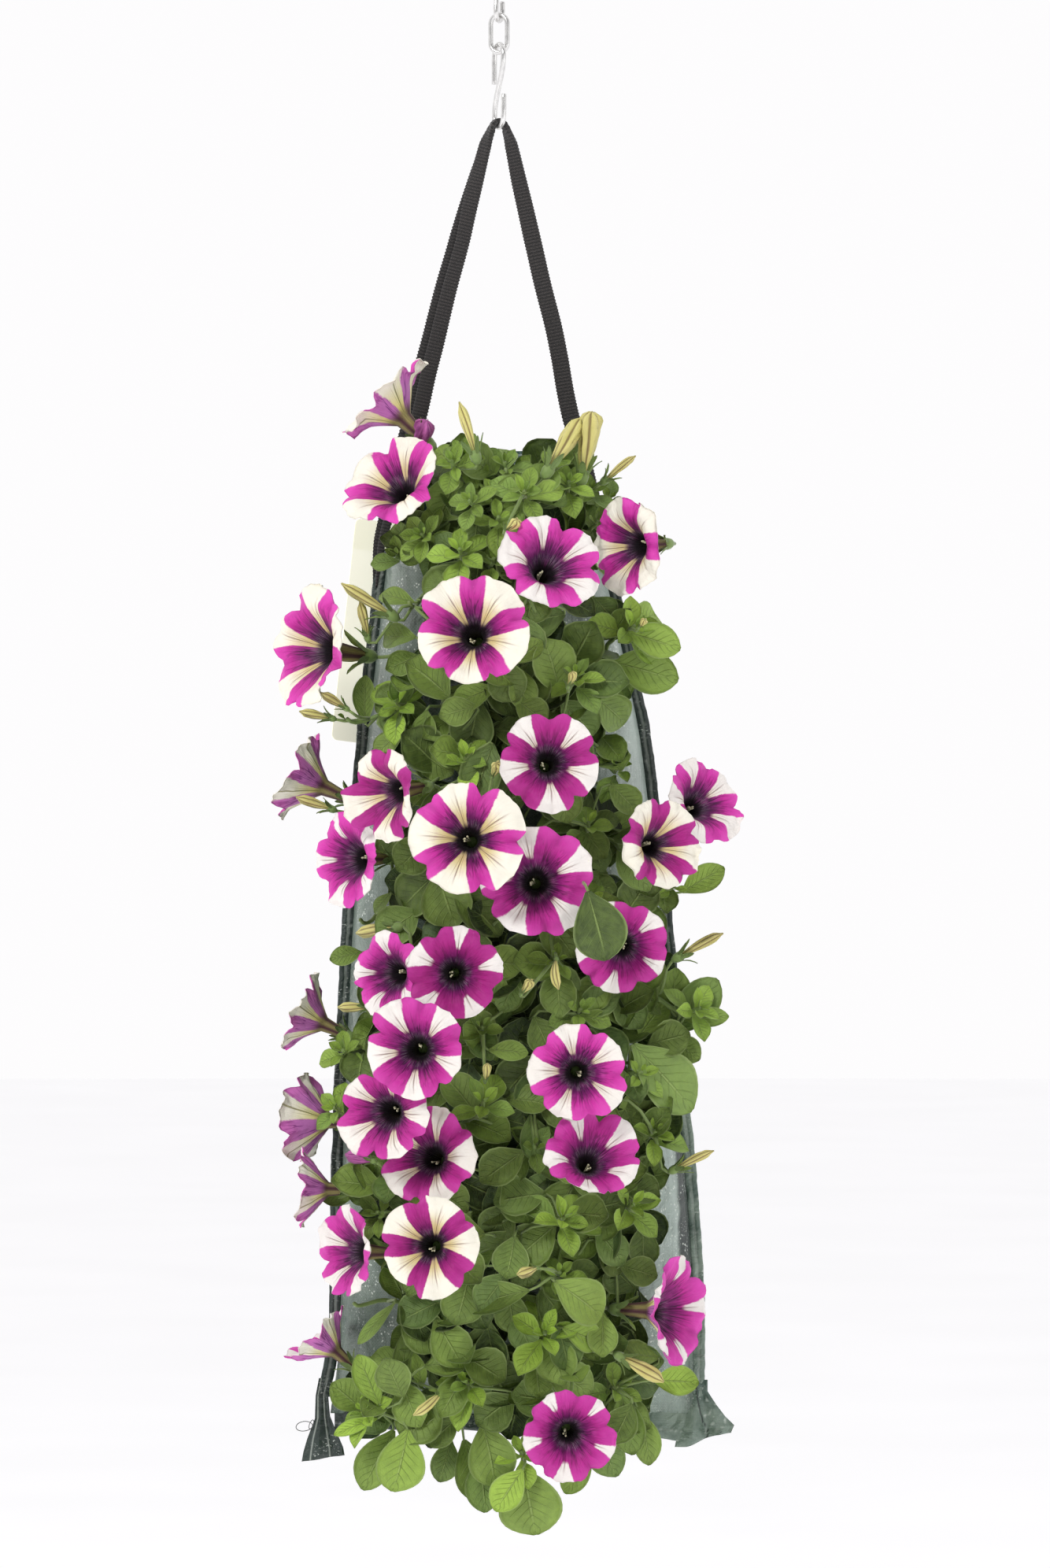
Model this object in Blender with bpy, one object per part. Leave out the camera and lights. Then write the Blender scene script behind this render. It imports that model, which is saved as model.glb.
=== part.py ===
"""A hanging planting bag of petunias: two S-hooks and a chain link carry a webbing strap, which
carries a flat bag of woven polyethylene filled with potting soil. Two petunia plants grow out of
its mouth and ten out of slits in its front panel. Metres, +Z up, the front of the bag towards -Y.
The origin is the inner saddle of the top S-hook, where the whole thing hangs.
"""

import math

import bmesh
import bpy
import numpy as np
from mathutils import Matrix, Vector

GAP = 0.0003  # between pieces that touch

# Hooks and chain link, bent from round zinc-plated wire.
HOOK_WIRE = 0.0034
LINK_WIRE = 0.0032
LINK_WIDTH = 0.0145
TOP_HOOK = {"radius": 0.0052, "tail": 0.008, "rise": 0.007}
STRAP_HOOK = {"radius": 0.0070, "tail": 0.0175, "rise": 0.0133}
TOP_HOOK_LOW = -0.0471  # wire centre at the bottom of the top hook
LINK_HIGH = -0.0435  # wire centre at the top of the link
LINK_LOW = -0.0672  # wire centre at the bottom of the link
STRAP_HOOK_HIGH = -0.0622
STRAP_HOOK_LOW = -0.1148
TOP_HOOK_TURN = math.radians(68)
LINK_TURN = math.radians(-22)
STRAP_HOOK_TURN = math.radians(-66)

# The bag. Down its height: the left and right edge of the panels, and how far the front and the
# back stand off the plane of the side seams.
SEAM_Y = 0.020
FILM = 0.0012
BAG_STATIONS = (
    # height, left, right, front, back
    (-0.3165, -0.0510, 0.0435, 0.0400, 0.0300),
    (-0.3790, -0.0690, 0.0600, 0.0660, 0.0440),
    (-0.4040, -0.0720, 0.0680, 0.0700, 0.0480),
    (-0.4990, -0.0825, 0.0885, 0.0760, 0.0520),
    (-0.6090, -0.0915, 0.1015, 0.0780, 0.0550),
    (-0.6990, -0.0960, 0.1095, 0.0760, 0.0550),
    (-0.7940, -0.0995, 0.1190, 0.0700, 0.0500),
    (-0.8600, -0.0995, 0.1230, 0.0580, 0.0420),
    (-0.9050, -0.1020, 0.1235, 0.0360, 0.0260),
    (-0.9250, -0.1050, 0.1235, 0.0160, 0.0120),
    (-0.9340, -0.1070, 0.1240, 0.0020, 0.0020),
)
FRONT_TOP = -0.379
FRONT_TOP_DIP = 0.018  # how much lower the front hem is at its middle
FRONT_LOWEST_TOP = FRONT_TOP - FRONT_TOP_DIP - 0.001
BACK_TOP = -0.3165
BAG_LOW = -0.934
FULLNESS = 0.6  # exponent of the cross-section's curve
HEM_HALF_WIDE = 0.0028
HEM_HALF_THICK = 0.0012
HEM_CLEAR = 0.0022  # from the panels' edges to the hems
STRAP_END = -0.400

# The strap's left and right runs, from the hook down: x, z and half width.
LEFT_RUN = (
    (-0.0048, -0.1165, 0.0028),
    (-0.0085, -0.1260, 0.0040),
    (-0.0240, -0.1840, 0.0058),
    (-0.0440, -0.2590, 0.0066),
    (-0.0525, -0.2965, 0.0064),
    (-0.0590, -0.3165, 0.0050),
    (-0.0765, -0.3760, 0.0046),
    (-0.0800, STRAP_END, 0.0026),
)
RIGHT_RUN = (
    (0.0048, -0.1165, 0.0028),
    (0.0080, -0.1260, 0.0040),
    (0.0215, -0.1840, 0.0054),
    (0.0390, -0.2590, 0.0056),
    (0.0460, -0.2965, 0.0060),
    (0.0517, -0.3165, 0.0054),
    (0.0690, -0.3760, 0.0050),
    (0.0758, STRAP_END, 0.0026),
)
STRAP_HALF_THICK = 0.0013

CARD = (0.060, 0.0008, 0.143)
CARD_AT = (-0.0720, 0.0521, -0.4360)

# Slits in the front panel: five rows of two.
SLIT_ROWS = (-0.460, -0.559, -0.657, -0.756, -0.850)
SLIT_LEFT_X, SLIT_RIGHT_X = -0.032, 0.056
PANEL_COLUMNS, PANEL_ROWS = 12, 22
BACK_ROWS = 20

# Blooms: number, centre of the rim, azimuth and elevation that it faces in degrees (0 is the
# front, positive azimuth to the right), and rim radius.
BLOOMS = (
    (1, (-0.074, -0.035, -0.288), -100, 45, 0.031),
    (2, (-0.067, -0.075, -0.341), -32, 36, 0.030),
    (3, (0.033, -0.125, -0.394), 12, 12, 0.031),
    (4, (0.078, -0.085, -0.384), -42, -4, 0.030),
    (5, (-0.017, -0.150, -0.438), -7, 10, 0.033),
    (6, (-0.121, -0.050, -0.446), -68, 4, 0.034),
    (7, (-0.127, -0.010, -0.527), -96, 24, 0.029),
    (8, (-0.073, -0.125, -0.539), -48, -8, 0.029),
    (9, (-0.096, -0.085, -0.579), -38, 0, 0.028),
    (10, (0.032, -0.140, -0.518), 6, 6, 0.030),
    (11, (-0.019, -0.168, -0.565), -4, 4, 0.033),
    (12, (0.023, -0.140, -0.592), 0, 3, 0.033),
    (13, (0.103, -0.112, -0.569), 36, 6, 0.028),
    (14, (0.130, -0.060, -0.542), 36, 18, 0.027),
    (15, (0.077, -0.120, -0.634), 2, -8, 0.028),
    (16, (-0.070, -0.115, -0.650), -38, 0, 0.026),
    (17, (-0.027, -0.140, -0.649), 0, 0, 0.028),
    (18, (-0.051, -0.170, -0.695), -8, 0, 0.030),
    (19, (-0.125, -0.020, -0.677), -98, 25, 0.026),
    (20, (0.049, -0.140, -0.710), 2, 0, 0.029),
    (21, (-0.072, -0.148, -0.735), -24, -3, 0.029),
    (22, (0.058, -0.135, -0.760), 14, 28, 0.028),
    (23, (-0.123, -0.010, -0.744), -116, 4, 0.027),
    (24, (-0.045, -0.124, -0.762), -20, 8, 0.029),
    (25, (-0.122, -0.048, -0.786), -94, 2, 0.024),
    (26, (-0.043, -0.165, -0.815), -9, 3, 0.029),
    (27, (-0.096, -0.085, -0.823), -56, 4, 0.028),
    (28, (0.112, -0.082, -0.861), 50, 0, 0.033),
    (29, (-0.114, -0.020, -0.881), -102, 42, 0.023),
    (30, (0.044, -0.145, -0.933), 4, -5, 0.027),
)
BLOOM_DEPTH = 1.35  # rim to calyx, in rim radii

# Plants: the blooms that each carries, and the tips of its leafy shoots.
PLANTS = {
    "petunia_top_left": (
        (1, 2),
        ((-0.036, -0.045, -0.330), (-0.078, -0.060, -0.395)),
    ),
    "petunia_top_right": (
        (3, 4),
        ((0.033, -0.050, -0.330), (0.003, -0.080, -0.350)),
    ),
    "petunia_row1_left": (
        (5, 6),
        ((-0.080, -0.085, -0.470), (-0.010, -0.105, -0.490)),
    ),
    "petunia_row1_right": (
        (),
        ((0.094, -0.070, -0.455), (0.040, -0.100, -0.455), (0.020, -0.100, -0.500)),
    ),
    "petunia_row2_left": (
        (7, 8, 9, 11),
        ((-0.040, -0.100, -0.605),),
    ),
    "petunia_row2_right": (
        (10, 12, 13, 14),
        ((0.080, -0.080, -0.500),),
    ),
    "petunia_row3_left": (
        (16, 17, 18, 19),
        ((-0.100, -0.060, -0.700),),
    ),
    "petunia_row3_right": (
        (15, 20),
        ((0.123, -0.060, -0.664), (0.107, -0.075, -0.715), (0.008, -0.095, -0.681)),
    ),
    "petunia_row4_left": (
        (21, 23, 24, 25),
        ((-0.007, -0.095, -0.730),),
    ),
    "petunia_row4_right": (
        (22,),
        ((0.101, -0.070, -0.801), (0.096, -0.075, -0.750), (0.050, -0.095, -0.820)),
    ),
    "petunia_row5_left": (
        (26, 27, 29),
        ((-0.080, -0.060, -0.916), (-0.045, -0.070, -0.950), (-0.010, -0.095, -0.885)),
    ),
    "petunia_row5_right": (
        (28, 30),
        ((0.010, -0.075, -0.975), (0.096, -0.060, -0.915), (0.060, -0.100, -0.865)),
    ),
}
STEM_HALF = 0.0032
BRANCH_HALF = (0.0018, 0.0012)
BRANCH_STEPS = 5
LEAF_HALF_THICK = 0.0005
# Ring of a leaf: share of its length, share of its half width.
LEAF_OUTLINE = ((0.14, 0.10), (0.45, 0.95), (0.76, 0.86), (1.0, 0.12))
MOST_LEAVES = 15  # on one plant
LEAF_SIZES = (0.046, 0.042, 0.036, 0.030)  # by how far along its branch a leaf grows
LEAF_SLENDER = 0.36  # half width over length


def clear_scene():
    for ob in list(bpy.data.objects):
        bpy.data.objects.remove(ob, do_unlink=True)


def material(name, colour, roughness, metallic=0.0):
    mat = bpy.data.materials.new(name)
    mat.use_nodes = True
    shader = mat.node_tree.nodes["Principled BSDF"]
    shader.inputs["Base Color"].default_value = (*colour, 1.0)
    shader.inputs["Roughness"].default_value = roughness
    shader.inputs["Metallic"].default_value = metallic
    mat.diffuse_color = (*colour, 1.0)
    return mat


def add_object(name, data, mat):
    ob = bpy.data.objects.new(name, data)
    bpy.context.scene.collection.objects.link(ob)
    data.materials.append(mat)
    return ob


def add_bmesh(name, bm, mat, smooth=True):
    bm.normal_update()
    mesh = bpy.data.meshes.new(name)
    bm.to_mesh(mesh)
    bm.free()
    if smooth:
        mesh.shade_smooth()
    return add_object(name, mesh, mat)


# ---- four-sided runs, grown ring by ring ----


def ring_corners(centre, direction, facing, half_wide, half_thick, square=False):
    """The corners of a ring, anticlockwise as seen from where the run is heading."""
    along = direction.normalized()
    across = (facing - along * facing.dot(along)).normalized()
    side = across.cross(along)
    u = side * half_wide
    v = across * half_thick
    if square:
        return [centre + u + v, centre - u + v, centre - u - v, centre + u - v]
    return [centre + u, centre + v, centre - u, centre - v]


def extend(bm, loop, rings, square=False):
    """Runs on from a loop of four points to a flat end. Returns each step's side faces."""
    steps = []
    for ring in rings:
        corners = ring_corners(*ring, square=square)

        def twist(shift, at=corners, last=loop):
            return sum((last[i].co - at[(i + shift) % 4]).length_squared for i in range(4))

        shift = min(range(4), key=twist)
        new = [bm.verts.new(corners[(i + shift) % 4]) for i in range(4)]
        sides = []
        for i in range(4):
            j = (i + 1) % 4
            sides.append(bm.faces.new((loop[i], loop[j], new[j], new[i])))
        steps.append(sides)
        loop = new
    end = bm.faces.new(loop)
    return steps, end


def grow(bm, face, rings, square=False):
    """Replaces a face by a run of rings."""
    loop = [corner.vert for corner in face.loops]
    bmesh.ops.delete(bm, geom=[face], context="FACES_ONLY")
    return extend(bm, loop, rings, square)


def start_run(bm, rings, square=False):
    """A run of its own, with a flat end at its start too."""
    loop = [bm.verts.new(co) for co in ring_corners(*rings[0], square=square)]
    bm.faces.new(list(reversed(loop)))
    return extend(bm, loop, rings[1:], square)


def run(name, rings, mat, square=True):
    bm = bmesh.new()
    start_run(bm, rings, square)
    return add_bmesh(name, bm, mat, smooth=False)


def out_of(face):
    face.normal_update()
    return face.calc_center_median(), face.normal.copy()


# ---- hooks and link ----


def wire(name, points, diameter, mat, cyclic=False):
    curve = bpy.data.curves.new(name, "CURVE")
    curve.dimensions = "3D"
    curve.bevel_depth = diameter / 2
    curve.bevel_resolution = 2
    curve.use_fill_caps = not cyclic
    spline = curve.splines.new("POLY")
    spline.points.add(len(points) - 1)
    for point, co in zip(spline.points, points):
        point.co = (*co, 1.0)
    spline.use_cyclic_u = cyclic
    return add_object(name, curve, mat)


def turned(points, angle):
    """Points of a drawing in the XZ plane, turned about the vertical."""
    turn = Matrix.Rotation(angle, 3, "Z")
    return [turn @ Vector((h, 0.0, v)) for h, v in points]


def s_hook_points(high, low, radius, tail, rise):
    """Upper curl open to the left, shank falling from right to left, lower curl open to the
    right. high and low are wire centres."""
    upper = high - radius
    lower = low + radius
    points = [(-radius * 1.06, upper - tail), (-radius, upper - tail / 2)]
    for i in range(9):
        angle = math.pi - math.pi * i / 8
        points.append((radius * math.cos(angle), upper + radius * math.sin(angle)))
    for i in range(1, 8):
        share = i / 8
        points.append((radius * math.cos(math.pi * share), upper + (lower - upper) * share))
    for i in range(9):
        angle = math.pi + math.pi * i / 8
        points.append((radius * math.cos(angle), lower + radius * math.sin(angle)))
    points += [(radius, lower + rise / 2), (radius * 1.06, lower + rise)]
    return points


def link_points(high, low, width):
    radius = (width - LINK_WIRE) / 2
    points = []
    for i in range(9):
        angle = math.pi * i / 8
        points.append((radius * math.cos(angle), high - radius + radius * math.sin(angle)))
    for i in range(9):
        angle = math.pi + math.pi * i / 8
        points.append((radius * math.cos(angle), low + radius + radius * math.sin(angle)))
    return points


def make_hooks(steel):
    top = s_hook_points(HOOK_WIRE / 2, TOP_HOOK_LOW, **TOP_HOOK)
    wire("top_s_hook", turned(top, TOP_HOOK_TURN), HOOK_WIRE, steel)
    link = link_points(LINK_HIGH, LINK_LOW, LINK_WIDTH)
    wire("chain_link", turned(link, LINK_TURN), LINK_WIRE, steel, cyclic=True)
    low = s_hook_points(STRAP_HOOK_HIGH, STRAP_HOOK_LOW, **STRAP_HOOK)
    wire("strap_s_hook", turned(low, STRAP_HOOK_TURN), HOOK_WIRE, steel)


# ---- strap ----


def strap_rings():
    """From the end of the left run, over the hook, to the end of the right run. The webbing's
    outer side is turned away from the hook at the top, and lies along the bag's seams below."""
    angle = STRAP_HOOK_TURN + math.pi / 2
    normal = Vector((math.cos(angle), math.sin(angle), 0.0))
    up = Vector((0.0, 0.0, 1.0))
    saddle = STRAP_HOOK_LOW + HOOK_WIRE / 2 + 0.0031
    over = (
        (-normal * 0.0034 + up * (saddle - 0.0018), up - normal),
        (-normal * 0.0018 + up * (saddle - 0.0002), up),
        (up * saddle, up),
        (normal * 0.0018 + up * (saddle - 0.0002), up),
        (normal * 0.0034 + up * (saddle - 0.0018), up + normal),
    )
    centres = run_centres(LEFT_RUN, -normal, Vector((0, -1, 0)))[::-1]
    centres += [(at, facing, 0.0027, 0.0013) for at, facing in over]
    centres += run_centres(RIGHT_RUN, normal, Vector((0, 1, 0)))
    rings = []
    for i, (at, facing, half, thick) in enumerate(centres):
        before = centres[max(i - 1, 0)][0]
        after = centres[min(i + 1, len(centres) - 1)][0]
        rings.append((at, after - before, facing, half, thick))
    return rings


def run_centres(places, first, last):
    """One run of the strap from the hook down: its outer side turns from first to last."""
    centres = []
    for i, (x, z, half) in enumerate(places):
        facing = first.lerp(last, min(i / 2, 1.0))
        centres.append((Vector((x, run_depth(z), z)), facing, half, STRAP_HALF_THICK))
    return centres


def run_depth(z):
    """How far back the strap lies at a height: over the hook at the top, in the seam plane below."""
    return float(np.interp(-z, (0.1165, 0.3165), (0.0, SEAM_Y)))


# ---- bag ----


def station(z, column):
    heights = [-row[0] for row in BAG_STATIONS]
    return float(np.interp(-z, heights, [row[column] for row in BAG_STATIONS]))


def bag_point(z, u, side, inset=0.0, narrow=0.0):
    """A point of the front (side -1) or the back (side 1) at a height. u runs from -1 at the
    left seam to 1 at the right one. inset moves it inwards, and narrow draws in the edges."""
    left = station(z, 1) + narrow
    right = station(z, 2) - narrow
    bulge = max(station(z, 3 if side < 0 else 4) - inset, 0.0)
    x = (left + right) / 2 + u * (right - left) / 2
    depth = bulge * max(1 - u * u, 0.0) ** FULLNESS
    return Vector((x, SEAM_Y + side * (GAP / 2 + depth), z))


def front_y(x, z):
    """The front panel's outer surface, or the seam plane beside it."""
    if not BAG_LOW < z < FRONT_TOP:
        return SEAM_Y
    left = station(z, 1)
    right = station(z, 2)
    u = (2 * x - left - right) / (right - left)
    if abs(u) >= 1:
        return SEAM_Y
    return bag_point(z, u, -1).y - FILM


def make_panel(name, side, mat):
    bm = bmesh.new()
    rows = PANEL_ROWS if side < 0 else BACK_ROWS
    bmesh.ops.create_grid(bm, x_segments=PANEL_COLUMNS, y_segments=rows, size=1.0)
    for vert in bm.verts:
        share = (1 - vert.co.y) / 2
        u = -math.cos(math.pi * (vert.co.x + 1) / 2)
        if side < 0:
            top = FRONT_TOP - FRONT_TOP_DIP * (1 - u * u)
        else:
            top = BACK_TOP
        z = top + share * (BAG_LOW - top)
        vert.co = bag_point(z, u, side)
    if side < 0:
        holes = []
        for row in SLIT_ROWS:
            for x in (SLIT_LEFT_X, SLIT_RIGHT_X):
                holes.append(min(bm.faces, key=lambda f: hole_distance(f, x, row)))
        bmesh.ops.delete(bm, geom=holes, context="FACES_ONLY")
    bm.normal_update()
    middle = min(bm.faces, key=lambda f: abs(f.calc_center_median().x) + abs(f.calc_center_median().z + 0.7))
    if middle.normal.y * side < 0:
        bmesh.ops.reverse_faces(bm, faces=bm.faces)
    ob = add_bmesh(name, bm, mat)
    thicken = ob.modifiers.new("Film", "SOLIDIFY")
    thicken.thickness = FILM
    thicken.offset = 1.0
    return ob


def hole_distance(face, x, z):
    centre = face.calc_center_median()
    return (centre.x - x) ** 2 + (centre.z - z) ** 2


def slit_centre(x, z):
    """The middle of the panel's cell that is open nearest to a place."""
    best = None
    for i in range(PANEL_COLUMNS):
        for j in range(PANEL_ROWS):
            corners = []
            for a, b in ((i, j), (i + 1, j), (i, j + 1), (i + 1, j + 1)):
                u = -math.cos(math.pi * a / PANEL_COLUMNS)
                top = FRONT_TOP - FRONT_TOP_DIP * (1 - u * u)
                corners.append(bag_point(top + b / PANEL_ROWS * (BAG_LOW - top), u, -1))
            centre = sum(corners, Vector()) / 4
            distance = (centre.x - x) ** 2 + (centre.z - z) ** 2
            if best is None or distance < best[0]:
                best = (distance, centre)
    return best[1]


def make_hem(name, side, mat):
    column = 1 if side < 0 else 2
    rings = []
    heights = np.linspace(STRAP_END - 0.0020, -0.9300, 15)
    places = []
    for z in heights:
        x = station(z, column) + side * (HEM_CLEAR + HEM_HALF_WIDE)
        places.append(Vector((x, SEAM_Y, z)))
    for i, at in enumerate(places):
        direction = places[min(i + 1, 14)] - places[max(i - 1, 0)]
        rings.append((at, direction, Vector((0, 1, 0)), HEM_HALF_WIDE, HEM_HALF_THICK))
    return run(name, rings, mat)


def make_bottom_hem(mat):
    """The stitched band across the bottom, with its two loose corners."""
    outline = (
        (-0.1175, -0.9310), (-0.1105, -0.9362), (-0.0500, -0.9362), (0.0100, -0.9362),
        (0.0700, -0.9362), (0.1275, -0.9362), (0.1335, -0.9310), (0.1510, -0.9440),
        (0.1350, -0.9490), (0.1175, -0.9510), (0.0700, -0.9475), (0.0100, -0.9475),
        (-0.0500, -0.9475), (-0.0960, -0.9490), (-0.0995, -0.9585), (-0.1255, -0.9625),
        (-0.1230, -0.9480),
    )
    bm = bmesh.new()
    verts = [bm.verts.new((x, SEAM_Y + HEM_HALF_THICK, z)) for x, z in outline]
    face = bm.faces.new(verts)
    moved = bmesh.ops.extrude_face_region(bm, geom=[face])["geom"]
    top = [v for v in moved if isinstance(v, bmesh.types.BMVert)]
    bmesh.ops.translate(bm, verts=top, vec=(0, -2 * HEM_HALF_THICK, 0))
    bmesh.ops.recalc_face_normals(bm, faces=bm.faces)
    return add_bmesh("bottom_hem", bm, mat, smooth=False)


def make_soil(mat):
    around = 16
    bm = bmesh.new()
    heights = (-0.402, -0.430, -0.520, -0.640, -0.760, -0.850, -0.890, -0.912)
    loops = []
    for z in heights:
        loop = []
        for i in range(around):
            angle = 2 * math.pi * i / around
            side = -1 if math.sin(angle) < 0 else 1
            point = bag_point(z, math.cos(angle), side, inset=0.0045, narrow=0.0070)
            loop.append(bm.verts.new(point))
        loops.append(loop)
    for upper, lower in zip(loops, loops[1:]):
        for i in range(around):
            j = (i + 1) % around
            bm.faces.new((upper[i], upper[j], lower[j], lower[i]))
    crown = bm.verts.new((0.0, 0.010, -0.394))
    for i in range(around):
        bm.faces.new((loops[0][(i + 1) % around], loops[0][i], crown))
    bm.faces.new(loops[-1])
    bmesh.ops.recalc_face_normals(bm, faces=bm.faces)
    return add_bmesh("potting_soil", bm, mat)


def make_card(mat):
    bm = bmesh.new()
    bmesh.ops.create_cube(bm, size=1.0, matrix=Matrix.Diagonal((*CARD, 1.0)))
    ob = add_bmesh("plant_label", bm, mat, smooth=False)
    ob.location = CARD_AT
    ob.rotation_euler = (0, math.radians(6.8), math.radians(22))
    corner = ob.modifiers.new("Corners", "BEVEL")
    corner.width = 0.00025
    corner.segments = 1
    return ob


# ---- petunias ----


def facing_of(azimuth, elevation):
    a = math.radians(azimuth)
    e = math.radians(elevation)
    return Vector((math.sin(a) * math.cos(e), -math.cos(a) * math.cos(e), math.sin(e)))


def bloom_base(rim, facing, radius):
    return rim - facing * radius * BLOOM_DEPTH


def make_bloom(number, rim, azimuth, elevation, radius, mat):
    """A trumpet of five lobes: outer skin from the calyx to the rim, inner skin to the throat."""
    sides = 10
    facing = facing_of(azimuth, elevation)
    turn = facing.to_track_quat("Z", "Y").to_matrix()
    profile = (
        (0.0024, -radius * BLOOM_DEPTH, 0.0),
        (radius * 0.17, -radius * 0.62, 0.0),
        (radius, -0.0008, 0.06),
        (radius, 0.0006, 0.06),
        (radius * 0.20, -radius * 0.36, 0.0),
    )
    bm = bmesh.new()
    loops = []
    for r, t, lobe in profile:
        loop = []
        for i in range(sides):
            angle = 2 * math.pi * i / sides
            reach = r * (1 + (lobe if i % 2 else -lobe))
            local = Vector((reach * math.cos(angle), reach * math.sin(angle), t))
            loop.append(bm.verts.new(Vector(rim) + turn @ local))
        loops.append(loop)
    bm.faces.new(list(reversed(loops[0])))
    for low, high in zip(loops, loops[1:]):
        for i in range(sides):
            j = (i + 1) % sides
            bm.faces.new((low[i], low[j], high[j], high[i]))
    throat = bm.verts.new(Vector(rim) - facing * radius * 0.72)
    for i in range(sides):
        bm.faces.new((loops[-1][i], loops[-1][(i + 1) % sides], throat))
    return add_bmesh(f"bloom_{number:02d}", bm, mat)


class Room:
    """Balls that stand for what has been placed, so that a leaf can be left out where it would
    meet something."""

    def __init__(self):
        self.centres = []
        self.sizes = []
        self.owners = []

    def add(self, centre, size, owner):
        self.centres.append(tuple(centre))
        self.sizes.append(size)
        self.owners.append(owner)

    def free(self, places, size, owner=None):
        centres = np.array(self.centres)
        reach = np.array(self.sizes) + size
        others = np.array([kept != owner for kept in self.owners])
        for place in places:
            apart = np.linalg.norm(centres - np.array(place), axis=1)
            if ((apart < reach) & others).any():
                return False
        return True


def add_bloom_room(room, number, rim, facing, radius):
    turn = facing.to_track_quat("Z", "Y").to_matrix()
    owner = f"bloom {number}"
    for ring, t, size in ((1.0, 0.0, 0.005), (0.66, -0.16, 0.006), (0.33, -0.30, 0.006)):
        for i in range(20):
            angle = 2 * math.pi * i / 20
            local = Vector((ring * math.cos(angle), ring * math.sin(angle), t)) * radius
            room.add(rim + turn @ local, size, owner)
    for t in (-0.4, -0.6, -0.8, -1.0, -1.2, -1.35):
        room.add(rim + facing * radius * t, 0.005, owner)


def bezier(p0, p1, p2, p3, t):
    s = 1 - t
    return p0 * s**3 + p1 * 3 * s * s * t + p2 * 3 * s * t * t + p3 * t**3


def branch_path(start, out, end, arrive):
    reach = (end - start).length
    p1 = start + out * reach * 0.38
    p2 = end - arrive * reach * 0.38
    return [bezier(start, p1, p2, end, i / BRANCH_STEPS) for i in range(1, BRANCH_STEPS + 1)]


def branch_rings(start, path, arrive):
    rings = []
    for i, at in enumerate(path):
        before = path[i - 1] if i else start
        after = path[i + 1] if i + 1 < len(path) else at + (at - before)
        share = (i + 1) / len(path)
        half = BRANCH_HALF[0] + (BRANCH_HALF[1] - BRANCH_HALF[0]) * share
        rings.append((at, after - before, Vector((0.2, -0.5, 0.8)), half, half))
    rings[-1] = (path[-1], arrive, *rings[-1][2:])
    return rings


def leaf_rings(start, direction, facing, long, half_wide, droop):
    rings = []
    across = (facing - direction * facing.dot(direction)).normalized()
    for share, width in LEAF_OUTLINE:
        at = start + direction * long * share - across * droop * share * share
        heading = direction * long - across * 2 * droop * share
        rings.append((at, heading, facing, max(half_wide * width, 0.0010), LEAF_HALF_THICK))
    return rings


def leaf_places(rings):
    """Points spread over a leaf, from its foot to its tip."""
    places = []
    for low, high in zip(rings, rings[1:]):
        for part in (0.33, 0.67, 1.0):
            at = low[0].lerp(high[0], part)
            along = low[1].lerp(high[1], part).normalized()
            half = low[3] + (high[3] - low[3]) * part
            across = (high[2] - along * high[2].dot(along)).normalized()
            side = across.cross(along)
            for share in (-1, -0.67, -0.33, 0, 0.33, 0.67, 1):
                places.append(at + side * half * share)
    return places


def clear_of_bag(places):
    for place in places:
        if place.z > FRONT_TOP + 0.005:
            continue
        if place.y > front_y(place.x, min(place.z, FRONT_LOWEST_TOP)) - 0.0035:
            return False
    return True


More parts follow.
